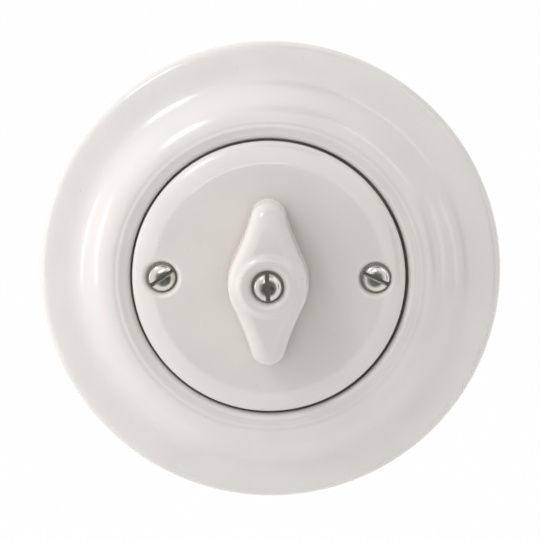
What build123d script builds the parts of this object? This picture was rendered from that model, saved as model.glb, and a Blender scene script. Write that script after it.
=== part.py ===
from build123d import *
import os
from math import cos, hypot, radians, sin, sqrt

# Flush rotary wall switch with a glazed porcelain front. All sizes are in millimetres.
# +Z is up, +X is to the right, and the room is on the -Y side. The origin lies on the spindle's
# axis in the plane of the wall. A height is a distance out of the wall, so behind it is negative.

# Clearances
free_gap = 0.3  # between pieces that move past each other
seat_gap = 0.05  # between pieces that sit in each other
turning_gap = 0.05  # between a shaft and its bearing
contact_gap = 0.1  # between the bridge's tip and a contact's nose, and screw tip and claw

# Porcelain surround
surround_radius = 50.0
rim_radius = 2.2
rim_slope = 18.0  # degrees, of the skirt where it leaves the rim
rim_overhang = 1.1  # beyond the foot
foot_width = 3.3
foot_lift = 0.3
skirt_width = 8.0
skirt_height = 6.1
crest_width = 1.8
lip_round = 1.65
steep_run = 3.3
steep_drop = 1.2
rebate_height = 8.8
rebate_depth = 3.2
ledge_width = 3.25  # of the step on which the centre plate sits
ledge_thickness = 3.8
ledge_chamfer = 0.66  # between ledge and hollow
shell_thickness = 3.6
shell_inset = 0.7  # of the hollow's bends from those outside
crest_thickness = 4.3
hollow_lean = 60.0  # degrees, of the hollow where it meets the foot

# Porcelain centre plate
plate_gap = 0.45
plate_edge_height = 3.0
plate_edge_run = 7.5
plate_edge_rise = 2.6
plate_edge_sweep = 82.0  # degrees of the ellipse that rounds the edge
plate_crown = 0.65
plate_thickness = 4.3
spigot_depth = 2.3
spigot_wall = 4.2
screw_boss_radius = 3.3
screw_dish_radius = 3.4
screw_dish_depth = 2.2
screw_dish_lip = 1.1

# Porcelain knob
knob_gap = 0.5
knob_half_length = 17.7
knob_half_width = 8.8
knob_waist_radius = 11.0
knob_tip_radius = 3.9
knob_flank_radius = 60.0
knob_height = 10.4
knob_crown = 1.5
knob_taper = 2.0  # degrees
knob_edge_round = 2.9
boss_radius = 6.1
boss_rise = 0.5
boss_round = 0.4
knob_well_radius = 3.6
knob_well_depth = 1.8
knob_well_lip = 1.3
knob_web = 2.9
collar_radius = 5.2
collar_depth = 4.0

# Screws: M3 pan heads on the front, M3 and M3.5 behind
m3_radius = 1.5
m35_radius = 1.75
m3_point_radius = 1.2
pan_head_radius = 3.0
pan_head_height = 2.2
small_head_radius = 2.6
small_head_height = 1.7
head_round_share = 0.5
slot_width = 0.95
slot_depth = 1.2
cover_screw_length = 14.8
knob_screw_length = 11.0
left_slot_angle = 35.0
right_slot_angle = -25.0
knob_slot_angle = 93.0
washer_radius = 3.3
washer_thickness = 0.5

# Steel support ring
ring_radius = 35.5
ring_thickness = 1.2
box_screw_spacing = 60.0
box_slot_length = 6.5
box_slot_width = 4.0
collar_wall = 0.9
collar_gap = 0.55  # between a cover screw's collar and the body behind the ring
tapped_collar_height = 1.5
claw_collar_height = 0.8
lug_thickness = 1.2
lug_radius = 2.5
rim_notch_radius = 1.5

# Spindle, bush and clip
spindle_radius = 3.0
flats_width = 4.5
spindle_square = 4.2
shoulder_radius = 4.2
shoulder_thickness = 1.2
bush_radius = 4.5
bush_flange_radius = 6.0
bush_flange_thickness = 1.0
bush_tail = 1.8
clip_radius = 4.3
clip_thickness = 0.5
clip_groove_depth = 0.7
clip_mouth = 3.4
clip_play = 0.15

# Detent and its housing
body_width = 40.0
body_height = 37.0
body_corner = 5.0
housing_thickness = 7.0
housing_web = 2.0
cam_width = 11.0
cam_corner = 2.0
cam_thickness = 3.9
cam_play = 0.25
leaf_thickness = 0.4
leaf_length = 24.0
leaf_grip_length = 1.4
leaf_pocket_depth = 2.3
cam_well_radius = 8.0

# Ceramic base
base_depth = 20.0
chamber_wall = 1.0
chamber_depth = 7.5
floor_thickness = 2.5
base_screw_hole = 1.6
nut_width = 5.5
nut_thickness = 2.4
nut_turn = 30.0  # degrees, of a nut and its pocket
nut_pocket_wall = 1.4
pocket_width = 7.3
pocket_side_wall = 1.75
pocket_end_wall = 1.45
wire_entry_radius = 2.0

# Rotor, bridge and fixed contacts
rotor_inset = 2.55  # of the drum's rim from the bridge's tip
rotor_thickness = 5.7
rotor_socket_depth = 2.9
bridge_clearance = 2.15  # from the bridge's tip to the chamber's wall
bridge_width = 4.0
bridge_thickness = 1.2
bridge_web = 0.8
contact_thickness = 0.6
contact_width = 4.0
contact_leg_gap = 3.0  # from the chamber's wall out to a contact's leg
contact_foot_length = 4.2
contact_bend = 0.6

# Terminals
terminal_width = 7.0
terminal_depth = 6.6
wire_bore_radius = 1.6
wire_bore_depth = 2.8
terminal_chamfer = 0.4

# Spreading claws
claw_body_gap = 0.8
claw_pivot_depth = 4.0
claw_pin_radius = 1.0
rivet_head_radius = 1.5
rivet_head_height = 0.4
claw_sheet = 1.0
claw_width = 10.0
claw_arm = 6.2
claw_leg = 16.0
claw_tooth_reach = 1.9
claw_tooth_count = 3
claw_notch_width = 2.2
claw_lever = 4.8  # from the pin to the screw
claw_screw_travel = 1.35
claw_screw_point = 1.3
claw_spring_thickness = 0.3
claw_spring_width = 4.0
claw_spring_anchor = 3.0
claw_spring_reach = 0.9  # of a spring's crest past the screw's axis
claw_spring_hook = 1.2
claw_head_radius = 3.0
claw_head_chamfer = 0.42
claw_slot_depth = 0.85


# Planes and shared forms
def front(height):
    """Plane parallel to the wall at a height; its sketches read as seen from the room."""
    return Plane.XZ.offset(height)


def half_section(angle, z=0):
    """Plane through the spindle's axis, or one above it: distance out at an angle, and height."""
    turn = radians(angle)
    return Plane(
        origin=(0, 0, z), x_dir=(cos(turn), 0, sin(turn)), z_dir=(sin(turn), 0, -cos(turn))
    )


def slotted_screw(head_radius, head_height, shank_radius, shank_length, point_radius):
    """Slotted pan-head screw with its head's seat at the origin and its head towards the room."""
    with BuildPart() as screw:
        with BuildSketch(half_section(0)):
            Polygon(
                (0, head_height),
                (0, -shank_length),
                (point_radius, -shank_length),
                (shank_radius, shank_radius - point_radius - shank_length),
                (shank_radius, 0),
                (head_radius, 0),
                (head_radius, head_height),
                align=None,
            )
        revolve(axis=Axis.Y)
        fillet(screw.edges().group_by(Axis.Y)[0], head_round_share * head_height)
        with BuildSketch(front(head_height - slot_depth)):
            Rectangle(3 * head_radius, slot_width)
        extrude(amount=2 * slot_depth, mode=Mode.SUBTRACT)
    return screw.part


def placed(height, x=0, z=0, turn=0):
    """Place for a screw: the height of its seat, where its axis is, and its slot's angle."""
    return Location((x, -height, z), (0, -turn, 0))


# Places outwards from the axis: body, cover screws, centre plate and surround
half_body_width = body_width / 2
half_body_height = body_height / 2
screw_collar_radius = m3_radius + seat_gap + collar_wall
claw_collar_radius = m35_radius + seat_gap + collar_wall
cover_screw_offset = half_body_width + collar_gap + screw_collar_radius
spigot_radius = cover_screw_offset + screw_boss_radius
ledge_radius = spigot_radius + free_gap
rebate_radius = ledge_radius + ledge_width
plate_radius = rebate_radius - plate_gap

# Places inwards from the body's sides: nuts, chamber, bridge, contacts, pockets and claws
nut_pocket_width = nut_width + 2 * turning_gap
base_screw_offset = half_body_width - nut_pocket_wall - nut_pocket_width / 2
chamber_radius = base_screw_offset - base_screw_hole - chamber_wall
bridge_radius = chamber_radius - bridge_clearance
rotor_radius = bridge_radius - rotor_inset
contact_leg_radius = chamber_radius + contact_leg_gap
pocket_x = half_body_width - pocket_side_wall - pocket_width / 2
pocket_z = half_body_height - pocket_end_wall - pocket_width / 2
claw_pivot_offset = half_body_height + claw_body_gap + claw_arm
claw_screw_offset = claw_pivot_offset - claw_lever

# Levels in front of the wall
crest_height = rebate_height + rebate_depth
plate_edge_top = rebate_height + plate_edge_height
plate_shoulder = plate_edge_top + plate_edge_rise * sin(radians(plate_edge_sweep))
plate_top = plate_shoulder + plate_crown
plate_underside = plate_top - plate_thickness
dish_floor = plate_shoulder - screw_dish_depth
knob_base = plate_top + knob_gap
knob_top = knob_base + knob_height
boss_top = knob_top + boss_rise
well_floor = boss_top - knob_well_depth
knob_screw_seat = well_floor + washer_thickness
socket_roof = well_floor - knob_web
spindle_front = socket_roof - seat_gap
spindle_hole = m3_radius + seat_gap
collar_bottom = knob_base - collar_depth
ring_front = ring_thickness
bush_front = ring_front + bush_flange_thickness

# Levels behind the wall
clip_front = -bush_tail - clip_play
clip_rear = clip_front - clip_thickness
cam_front = clip_rear - cam_play
cam_rear = cam_front - cam_thickness
housing_rear = -housing_thickness
base_rear = housing_rear - base_depth
chamber_floor = housing_rear - chamber_depth
pocket_roof = chamber_floor - floor_thickness
rotor_front = housing_rear - free_gap
rotor_rear = rotor_front - rotor_thickness
rotor_socket_roof = rotor_front - rotor_socket_depth
bridge_front = rotor_socket_roof - bridge_web
bridge_rear = bridge_front - bridge_thickness
terminal_front = pocket_roof - contact_thickness
terminal_rear = terminal_front - terminal_depth
wire_axis = terminal_front - wire_bore_depth
nut_seat = base_rear + nut_thickness + free_gap
corner_angles = (45, 135, 225, 315)
corner_places = [(x, z) for x in (-pocket_x, pocket_x) for z in (-pocket_z, pocket_z)]
bridge_level = (bridge_front + bridge_rear) / 2

# Surround: foot and full-round rim, gentle skirt, steep shoulder, flat crest and a rebate
rim_centre = surround_radius - rim_radius
rim_lean = radians(rim_slope)
skirt_start = (rim_centre + rim_radius * sin(rim_lean), rim_radius * (1 + cos(rim_lean)))
foot_outer = surround_radius - rim_overhang
foot_inner = foot_outer - foot_width
skirt_knee = (surround_radius - skirt_width, skirt_height)
crest_inner = rebate_radius + lip_round
crest_outer = crest_inner + crest_width
steep_top = (crest_outer + steep_run, crest_height - steep_drop)
ledge_underside = rebate_height - ledge_thickness
hollow_top = crest_height - crest_thickness
lip_middle = lip_round * (1 - sin(radians(45)))
with BuildPart() as surround:
    with BuildSketch(half_section(0)):
        with BuildLine():
            Polyline(
                (foot_inner, 0),
                (foot_outer, 0),
                (foot_outer, foot_lift),
            )
            ThreePointArc((foot_outer, foot_lift), (surround_radius, rim_radius), skirt_start)
            Spline(
                skirt_start,
                skirt_knee,
                steep_top,
                (crest_outer, crest_height),
                tangents=((-cos(rim_lean), sin(rim_lean)), (-1, 0)),
            )
            Line((crest_outer, crest_height), (crest_inner, crest_height))
            ThreePointArc(
                (crest_inner, crest_height),
                (rebate_radius + lip_middle, crest_height - lip_middle),
                (rebate_radius, crest_height - lip_round),
            )
            Polyline(
                (rebate_radius, crest_height - lip_round),
                (rebate_radius, rebate_height),
                (ledge_radius, rebate_height),
                (ledge_radius, ledge_underside),
                (rebate_radius + ledge_chamfer, ledge_underside),
                (rebate_radius + lip_round, hollow_top),
                (crest_outer, hollow_top),
            )
            Spline(
                (crest_outer, hollow_top),
                (steep_top[0] - shell_inset, steep_top[1] - shell_thickness),
                (skirt_knee[0] - shell_inset, skirt_knee[1] - shell_thickness),
                (foot_inner, 0),
                tangents=((1, 0), (cos(radians(hollow_lean)), -sin(radians(hollow_lean)))),
            )
        make_face()
    revolve(axis=Axis.Y)

# Centre plate: crowned disc, rounded edge, spigot that centres it in the surround's ledge
spigot_bottom = rebate_height - spigot_depth
edge_centre = plate_radius - plate_edge_run
spindle_opening = collar_radius + free_gap
with BuildPart() as centre_plate:
    with BuildSketch(half_section(90)):
        with BuildLine():
            Polyline(
                (spindle_opening, plate_underside),
                (spigot_radius - spigot_wall, plate_underside),
                (spigot_radius - spigot_wall, spigot_bottom),
                (spigot_radius, spigot_bottom),
                (spigot_radius, rebate_height),
                (plate_radius, rebate_height),
                (plate_radius, plate_edge_top),
            )
            edge_round = EllipticalCenterArc(
                (edge_centre, plate_edge_top),
                plate_edge_run,
                plate_edge_rise,
                start_angle=0,
                arc_size=plate_edge_sweep,
            )
            Spline(
                edge_round @ 1,
                (spindle_opening, plate_top),
                tangents=(edge_round % 1, (-1, 0)),
            )
            Line((spindle_opening, plate_top), (spindle_opening, plate_underside))
        make_face()
    revolve(axis=Axis.Y)
    with BuildSketch(front(spigot_bottom)):
        with Locations((-cover_screw_offset, 0), (cover_screw_offset, 0)):
            Circle(screw_boss_radius)
    extrude(amount=plate_underside - spigot_bottom)
    with BuildSketch(front(dish_floor)):
        with Locations((-cover_screw_offset, 0), (cover_screw_offset, 0)):
            Circle(screw_dish_radius)
    extrude(amount=plate_top - dish_floor, mode=Mode.SUBTRACT)
    dish_rims = centre_plate.edges().filter_by(
        lambda edge: abs(abs(edge.center().X) - cover_screw_offset) < screw_dish_radius
        and -edge.center().Y > dish_floor + screw_dish_depth / 2
    )
    fillet(dish_rims, screw_dish_lip)
    with BuildSketch(front(spigot_bottom)):
        with Locations((-cover_screw_offset, 0), (cover_screw_offset, 0)):
            Circle(m3_radius + free_gap)
    extrude(amount=plate_top - spigot_bottom, mode=Mode.SUBTRACT)

# Knob: lozenge of three tangent arcs a side (waist, hollow flank, tip), crowned along its length
waist_centre = knob_half_width - knob_waist_radius
tip_centre = knob_half_length - knob_tip_radius
to_waist = knob_flank_radius + knob_waist_radius
to_tip = knob_flank_radius + knob_tip_radius
centre_span = hypot(waist_centre, tip_centre)
along = (to_waist**2 - to_tip**2 + centre_span**2) / (2 * centre_span)
across = sqrt(to_waist**2 - along**2)
flank_centre = (
    waist_centre + (-waist_centre * along + tip_centre * across) / centre_span,
    (tip_centre * along + waist_centre * across) / centre_span,
)
waist_share = knob_waist_radius / to_waist
tip_share = knob_tip_radius / to_tip
waist_end = (
    waist_centre + (flank_centre[0] - waist_centre) * waist_share,
    flank_centre[1] * waist_share,
)
flank_end = (
    flank_centre[0] * tip_share,
    tip_centre + (flank_centre[1] - tip_centre) * tip_share,
)
crown_radius = (knob_half_length**2 + knob_crown**2) / (2 * knob_crown)
with BuildPart() as knob:
    with BuildSketch(front(knob_base)):
        with BuildLine():
            for side in (1, -1):
                ThreePointArc(
                    (side * waist_end[0], -waist_end[1]),
                    (side * knob_half_width, 0),
                    (side * waist_end[0], waist_end[1]),
                )
                ThreePointArc(
                    (flank_end[0], side * flank_end[1]),
                    (0, side * knob_half_length),
                    (-flank_end[0], side * flank_end[1]),
                )
                for end in (1, -1):
                    RadiusArc(
                        (side * waist_end[0], end * waist_end[1]),
                        (side * flank_end[0], end * flank_end[1]),
                        side * end * knob_flank_radius,
                    )
        make_face()
    extrude(amount=knob_height + knob_crown, taper=knob_taper)
    with BuildSketch(half_section(90)):
        with Locations((0, knob_top - crown_radius)):
            Circle(crown_radius)
    extrude(amount=knob_half_width, both=True, mode=Mode.INTERSECT)
    fillet(knob.faces().sort_by(Axis.Y)[0].edges(), knob_edge_round)
    with BuildSketch(front(knob_base + knob_height / 2)):
        Circle(boss_radius)
    extrude(amount=boss_top - knob_base - knob_height / 2)
    with BuildSketch(front(collar_bottom)):
        Circle(collar_radius)
    extrude(amount=collar_depth)
    with BuildSketch(front(collar_bottom)):
        Circle(spindle_radius + seat_gap)
        Rectangle(2 * (spindle_radius + seat_gap), flats_width + 2 * seat_gap, mode=Mode.INTERSECT)
    extrude(amount=socket_roof - collar_bottom, mode=Mode.SUBTRACT)
    with BuildSketch(front(well_floor)):
        Circle(knob_well_radius)
    extrude(amount=knob_well_depth, mode=Mode.SUBTRACT)
    with BuildSketch(front(socket_roof)):
        Circle(spindle_hole)
    extrude(amount=knob_web, mode=Mode.SUBTRACT)
    boss_edges = knob.edges().filter_by(GeomType.CIRCLE).group_by(Axis.Y)[0]
    fillet(boss_edges.sort_by(SortBy.RADIUS)[0], knob_well_lip)
    fillet(boss_edges.sort_by(SortBy.RADIUS)[-1], boss_round)

# Washer and screws on the front
with BuildPart() as knob_washer:
    with BuildSketch(front(well_floor)):
        Circle(washer_radius)
        Circle(spindle_hole, mode=Mode.SUBTRACT)
    extrude(amount=washer_thickness)

front_screw = slotted_screw(
    pan_head_radius, pan_head_height, m3_radius, knob_screw_length, m3_point_radius
)
plate_screw = slotted_screw(
    pan_head_radius, pan_head_height, m3_radius, cover_screw_length, m3_point_radius
)
with BuildPart() as knob_screw:
    add(placed(knob_screw_seat, turn=knob_slot_angle) * front_screw)

with BuildPart() as cover_screws:
    for x, turn in ((-cover_screw_offset, left_slot_angle), (cover_screw_offset, right_slot_angle)):
        add(placed(dish_floor, x=x, turn=turn) * plate_screw)

# Support ring: stamped plate with bent lugs for the claw pins and drawn collars for the screws
lug_inner = claw_width / 2 + free_gap + seat_gap
lug_outer = lug_inner + lug_thickness
lug_places = (claw_pivot_offset, -claw_pivot_offset)
flap_length = claw_pivot_depth + lug_radius
with BuildPart() as support_ring:
    with BuildSketch(front(0)):
        Circle(ring_radius)
        Circle(bush_radius + seat_gap, mode=Mode.SUBTRACT)
        with Locations((-box_screw_spacing / 2, 0), (box_screw_spacing / 2, 0)):
            SlotOverall(box_slot_length, box_slot_width, mode=Mode.SUBTRACT)
        with Locations((-base_screw_offset, 0), (base_screw_offset, 0)):
            Circle(base_screw_hole, mode=Mode.SUBTRACT)
        with PolarLocations(ring_radius, len(corner_angles), start_angle=corner_angles[0]):
            Circle(rim_notch_radius, mode=Mode.SUBTRACT)
        for z in lug_places:
            for side in (1, -1):
                with Locations((side * (lug_outer + flap_length / 2), z)):
                    Rectangle(flap_length, 2 * lug_radius, mode=Mode.SUBTRACT)
    extrude(amount=ring_thickness)
    with BuildSketch(front(-tapped_collar_height)):
        with Locations((-cover_screw_offset, 0), (cover_screw_offset, 0)):
            Circle(screw_collar_radius)
    extrude(amount=tapped_collar_height)
    with BuildSketch(front(-tapped_collar_height)):
        with Locations((-cover_screw_offset, 0), (cover_screw_offset, 0)):
            Circle(m3_radius + seat_gap)
    extrude(amount=tapped_collar_height + ring_thickness, mode=Mode.SUBTRACT)
    with BuildSketch(front(ring_front)):
        with Locations((0, -claw_screw_offset), (0, claw_screw_offset)):
            Circle(claw_collar_radius)
    extrude(amount=claw_collar_height)
    with BuildSketch(front(0)):
        with Locations((0, -claw_screw_offset), (0, claw_screw_offset)):
            Circle(m35_radius + seat_gap)
    extrude(amount=ring_thickness + claw_collar_height, mode=Mode.SUBTRACT)
    for side in (1, -1):
        with BuildSketch(half_section(90).offset(side * lug_inner)):
            for z in lug_places:
                with Locations((z, -claw_pivot_depth)):
                    Circle(lug_radius)
                with Locations((z, -claw_pivot_depth / 2)):
                    Rectangle(2 * lug_radius, claw_pivot_depth)
                with Locations((z, -claw_pivot_depth)):
                    Circle(claw_pin_radius + seat_gap, mode=Mode.SUBTRACT)
        extrude(amount=side * lug_thickness)

# Bush, spindle and clip
with BuildPart() as spindle_bush:
    with BuildSketch(half_section(0)):
        Polygon(
            (spindle_radius + turning_gap, -bush_tail),
            (bush_radius, -bush_tail),
            (bush_radius, ring_front),
            (bush_flange_radius, ring_front),
            (bush_flange_radius, bush_front),
            (spindle_radius + turning_gap, bush_front),
            align=None,
        )
    revolve(axis=Axis.Y)
    chamfer(spindle_bush.edges().group_by(Axis.Y)[0].sort_by(SortBy.RADIUS)[-1], seat_gap * 6)

shoulder_rear = bush_front + free_gap
shoulder_front = shoulder_rear + shoulder_thickness
groove_radius = spindle_radius - clip_groove_depth
square_front = clip_rear - seat_gap
square_rear = rotor_socket_roof + seat_gap
flats_rear = collar_bottom - free_gap
with BuildPart() as spindle:
    with BuildSketch(half_section(0)):
        Polygon(
            (0, square_front),
            (groove_radius, square_front),
            (groove_radius, clip_front + seat_gap),
            (spindle_radius, clip_front + seat_gap),
            (spindle_radius, shoulder_rear),
            (shoulder_radius, shoulder_rear),
            (shoulder_radius, shoulder_front),
            (spindle_radius, shoulder_front),
            (spindle_radius, spindle_front),
            (0, spindle_front),
            align=None,
        )
    revolve(axis=Axis.Y)
    with BuildSketch(front(square_rear)):
        Rectangle(spindle_square, spindle_square)
    extrude(amount=square_front - square_rear)
    with BuildSketch(front(spindle_front)):
        for side in (1, -1):
            with Locations((0, side * (flats_width / 2 + spindle_radius))):
                Rectangle(3 * spindle_radius, 2 * spindle_radius)
    extrude(amount=flats_rear - spindle_front, mode=Mode.SUBTRACT)
    with BuildSketch(front(spindle_front)):
        Circle(spindle_hole)
    extrude(amount=-knob_screw_length, mode=Mode.SUBTRACT)

with BuildPart() as spindle_clip:
    with BuildSketch(front(clip_rear)):
        Circle(clip_radius)
        Circle(groove_radius + seat_gap, mode=Mode.SUBTRACT)
        with Locations((0, -clip_radius)):
            Rectangle(clip_mouth, 2 * clip_radius, mode=Mode.SUBTRACT)
    extrude(amount=clip_thickness)

# Detent: square cam between two leaf springs, in a housing closed by the base
square_hole = spindle_square + 2 * seat_gap
with BuildPart() as detent_cam:
    with BuildSketch(front(cam_rear)):
        RectangleRounded(cam_width, cam_width, cam_corner)
        Rectangle(square_hole, square_hole, mode=Mode.SUBTRACT)
    extrude(amount=cam_thickness)

leaf_inner = cam_width / 2 + seat_gap
leaf_outer = leaf_inner + leaf_thickness
leaves = {}
for name, side in (("detent_spring_left", -1), ("detent_spring_right", 1)):
    with BuildPart() as leaf:
        with BuildSketch(front(cam_rear)):
            with Locations((side * (leaf_inner + leaf_thickness / 2), 0)):
                Rectangle(leaf_thickness, leaf_length)
        extrude(amount=cam_thickness)
    leaves[name] = leaf

pocket_inner = leaf_inner - free_gap
pocket_outer = leaf_outer + leaf_pocket_depth
with BuildPart() as detent_housing:
    with BuildSketch(front(housing_rear)):
        RectangleRounded(body_width, body_height, body_corner)
    extrude(amount=housing_thickness)
    with BuildSketch(front(housing_rear)):
        Circle(cam_well_radius)
        for side in (1, -1):
            with Locations((side * (pocket_inner + pocket_outer) / 2, 0)):
                Rectangle(pocket_outer - pocket_inner, leaf_length - 2 * leaf_grip_length)
            with Locations((side * (leaf_inner + leaf_outer) / 2, 0)):
                Rectangle(leaf_thickness + 2 * seat_gap, leaf_length + 2 * seat_gap)
    extrude(amount=housing_thickness - housing_web, mode=Mode.SUBTRACT)
    with BuildSketch(front(housing_rear)):
        Circle(bush_radius + free_gap)
        with Locations((-base_screw_offset, 0), (base_screw_offset, 0)):
            Circle(base_screw_hole)
    extrude(amount=housing_thickness, mode=Mode.SUBTRACT)

# Ceramic base: contact chamber in front, corner pockets for contacts, terminal pockets behind
contact_slot_width = contact_width + 2 * free_gap
contact_slot_outer = contact_leg_radius + contact_thickness / 2 + free_gap
contact_slot_inner = bridge_radius
foot_slot_outer = sqrt(2) * (pocket_x - pocket_width / 2) + contact_slot_width / 2
spring_seat_width = claw_spring_width + 2 * turning_gap
spring_seat_depth = claw_spring_thickness + 2 * seat_gap
rotor_stub_radius = spindle_radius
stub_hole = rotor_stub_radius + turning_gap
link_width = contact_width + 2 * turning_gap
with BuildPart() as mechanism_base:
    with BuildSketch(front(base_rear)):
        RectangleRounded(body_width, body_height, body_corner)
    extrude(amount=base_depth)
    with BuildSketch(front(housing_rear)):
        Circle(chamber_radius)
        for angle in corner_angles:
            with Locations(Location((0, 0), angle)):
                with Locations((contact_slot_outer / 2, 0)):
                    Rectangle(contact_slot_outer, contact_slot_width)
    extrude(amount=-chamber_depth, mode=Mode.SUBTRACT)
    with BuildSketch(front(base_rear)):
        for angle in corner_angles:
            with Locations(Location((0, 0), angle)):
                with Locations(((contact_slot_inner + foot_slot_outer) / 2, 0)):
                    Rectangle(foot_slot_outer - contact_slot_inner, contact_slot_width)
    extrude(amount=chamber_floor - base_rear, mode=Mode.SUBTRACT)
    with BuildSketch(front(base_rear)):
        with Locations(*corner_places):
            Rectangle(pocket_width, pocket_width)
        with Locations((0, -pocket_z)):
            Rectangle(2 * pocket_x, link_width)
    extrude(amount=pocket_roof - base_rear, mode=Mode.SUBTRACT)
    with BuildSketch(front(base_rear)):
        with Locations((-base_screw_offset, 0), (base_screw_offset, 0)):
            RegularPolygon(nut_pocket_width / 2, 6, major_radius=False, rotation=nut_turn)
    extrude(amount=nut_seat - base_rear, mode=Mode.SUBTRACT)
    with BuildSketch(front(base_rear)):
        with Locations((-base_screw_offset, 0), (base_screw_offset, 0)):
            Circle(base_screw_hole)
    extrude(amount=base_depth, mode=Mode.SUBTRACT)
    with BuildSketch(front(pocket_roof)):
        Circle(stub_hole)
    extrude(amount=floor_thickness, mode=Mode.SUBTRACT)
    with BuildSketch(Plane.YZ.offset(pocket_x)):
        with Locations((-wire_axis, -pocket_z), (-wire_axis, pocket_z)):
            Circle(wire_entry_radius)
    extrude(amount=half_body_width, mode=Mode.SUBTRACT)
    with BuildSketch(Plane.YZ.offset(-pocket_x)):
        with Locations((-wire_axis, -pocket_z), (-wire_axis, pocket_z)):
            Circle(wire_entry_radius)
    extrude(amount=-half_body_width, mode=Mode.SUBTRACT)
    with BuildSketch(front(housing_rear)):
        for side in (1, -1):
            with Locations((0, side * (half_body_height - claw_spring_anchor / 2))):
                Rectangle(spring_seat_width, claw_spring_anchor)
    extrude(amount=-spring_seat_depth, mode=Mode.SUBTRACT)

# Rotor with the bridge carried across it
bridge_angle = corner_angles[0]
with BuildPart() as rotor:
    with BuildSketch(front(rotor_rear)):
        Circle(rotor_radius)
    extrude(amount=rotor_thickness)
    with BuildSketch(front(rotor_rear)):
        Circle(rotor_stub_radius)
    extrude(amount=rotor_rear - pocket_roof, dir=(0, 1, 0))
    with BuildSketch(front(rotor_front)):
        Rectangle(square_hole, square_hole)
    extrude(amount=-rotor_socket_depth, mode=Mode.SUBTRACT)
    with BuildSketch(front(bridge_rear - seat_gap)):
        with Locations(Location((0, 0), bridge_angle)):
            Rectangle(3 * rotor_radius, bridge_width + 2 * seat_gap)
    extrude(amount=bridge_thickness + 2 * seat_gap, mode=Mode.SUBTRACT)

with BuildPart() as contact_bridge:
    with BuildSketch(front(bridge_rear)):
        with Locations(Location((0, 0), bridge_angle)):
            Rectangle(3 * bridge_radius, bridge_width)
        Circle(bridge_radius, mode=Mode.INTERSECT)
    extrude(amount=bridge_thickness)

# Fixed contacts: bent strips with a nose beside the bridge's path and a foot under a terminal
nose_radius = bridge_radius + contact_gap + contact_thickness / 2
leg_top = housing_rear - 2 * contact_bend - contact_thickness
foot_level = pocket_roof - contact_thickness / 2
hairpin_radius = (contact_leg_radius + nose_radius) / 2 - contact_thickness


def contact_finger(angle):
    """One bent contact strip in the corner at this angle."""
    with BuildPart() as finger:
        with BuildSketch(half_section(angle)):
            with BuildLine() as centre_line:
                FilletPolyline(
                    (contact_leg_radius + contact_foot_length, foot_level),
                    (contact_leg_radius, foot_level),
                    (contact_leg_radius, leg_top),
                    (hairpin_radius, leg_top),
                    (nose_radius, bridge_level),
                    (hairpin_radius, chamber_floor + 2 * contact_thickness),
                    radius=contact_bend,
                )
            trace(centre_line.line, contact_thickness)
        extrude(amount=contact_width / 2, both=True)
    return finger.part


with BuildPart() as right_throw_contact:
    add(contact_finger(corner_angles[0]))

with BuildPart() as left_throw_contact:
    add(contact_finger(corner_angles[1]))

with BuildPart() as common_contact:
    add(contact_finger(corner_angles[2]))
    add(contact_finger(corner_angles[3]))
    with BuildSketch(front(terminal_front)):
        with Locations((0, -pocket_z)):
            Rectangle(2 * pocket_x, contact_width)
    extrude(amount=contact_thickness)

# Terminal blocks with a wire bore and a clamping screw from behind
terminal_names = {
    (-pocket_x, pocket_z): "terminal_throw_left",
    (pocket_x, pocket_z): "terminal_throw_right",
    (-pocket_x, -pocket_z): "terminal_common_left",
    (pocket_x, -pocket_z): "terminal_common_right",
}
terminals = {}
for (x, z), name in terminal_names.items():
    with BuildPart() as terminal:
        with BuildSketch(front(terminal_rear)):
            with Locations((x, z)):
                Rectangle(terminal_width, terminal_width)
        extrude(amount=terminal_depth)
        chamfer(terminal.edges().group_by(Axis.Y)[-1], terminal_chamfer)
        with BuildSketch(Plane.YZ.offset(x)):
            with Locations((-wire_axis, z)):
                Circle(wire_bore_radius)
        extrude(amount=terminal_width, both=True, mode=Mode.SUBTRACT)
        with BuildSketch(front(terminal_rear)):
            with Locations((x, z)):
                Circle(m3_radius + seat_gap)
        extrude(amount=wire_axis - terminal_rear, mode=Mode.SUBTRACT)
    terminals[name] = terminal

clamp_seat = terminal_rear - free_gap
clamp_length = wire_axis - wire_bore_radius - seat_gap - clamp_seat
clamp_screw = slotted_screw(
    small_head_radius, small_head_height, m3_radius, clamp_length, m3_point_radius
)
with BuildPart() as terminal_screws:
    for x, z in corner_places:
        add(Location((x, -clamp_seat, z), (180, 0, 0)) * clamp_screw)

# Screws and nuts that hold ring, housing and base together
base_screw_length = ring_front - base_rear - seat_gap
base_screw = slotted_screw(
    small_head_radius, small_head_height, m3_radius, base_screw_length, m3_point_radius
)
with BuildPart() as base_screws:
    for x in (-base_screw_offset, base_screw_offset):
        add(placed(ring_front, x=x) * base_screw)

with BuildPart() as base_nuts:
    with BuildSketch(front(nut_seat)):
        with Locations((-base_screw_offset, 0), (base_screw_offset, 0)):
            RegularPolygon(nut_width / 2, 6, major_radius=False, rotation=nut_turn)
            Circle(m3_radius + seat_gap, mode=Mode.SUBTRACT)
    extrude(amount=-nut_thickness)

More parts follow.
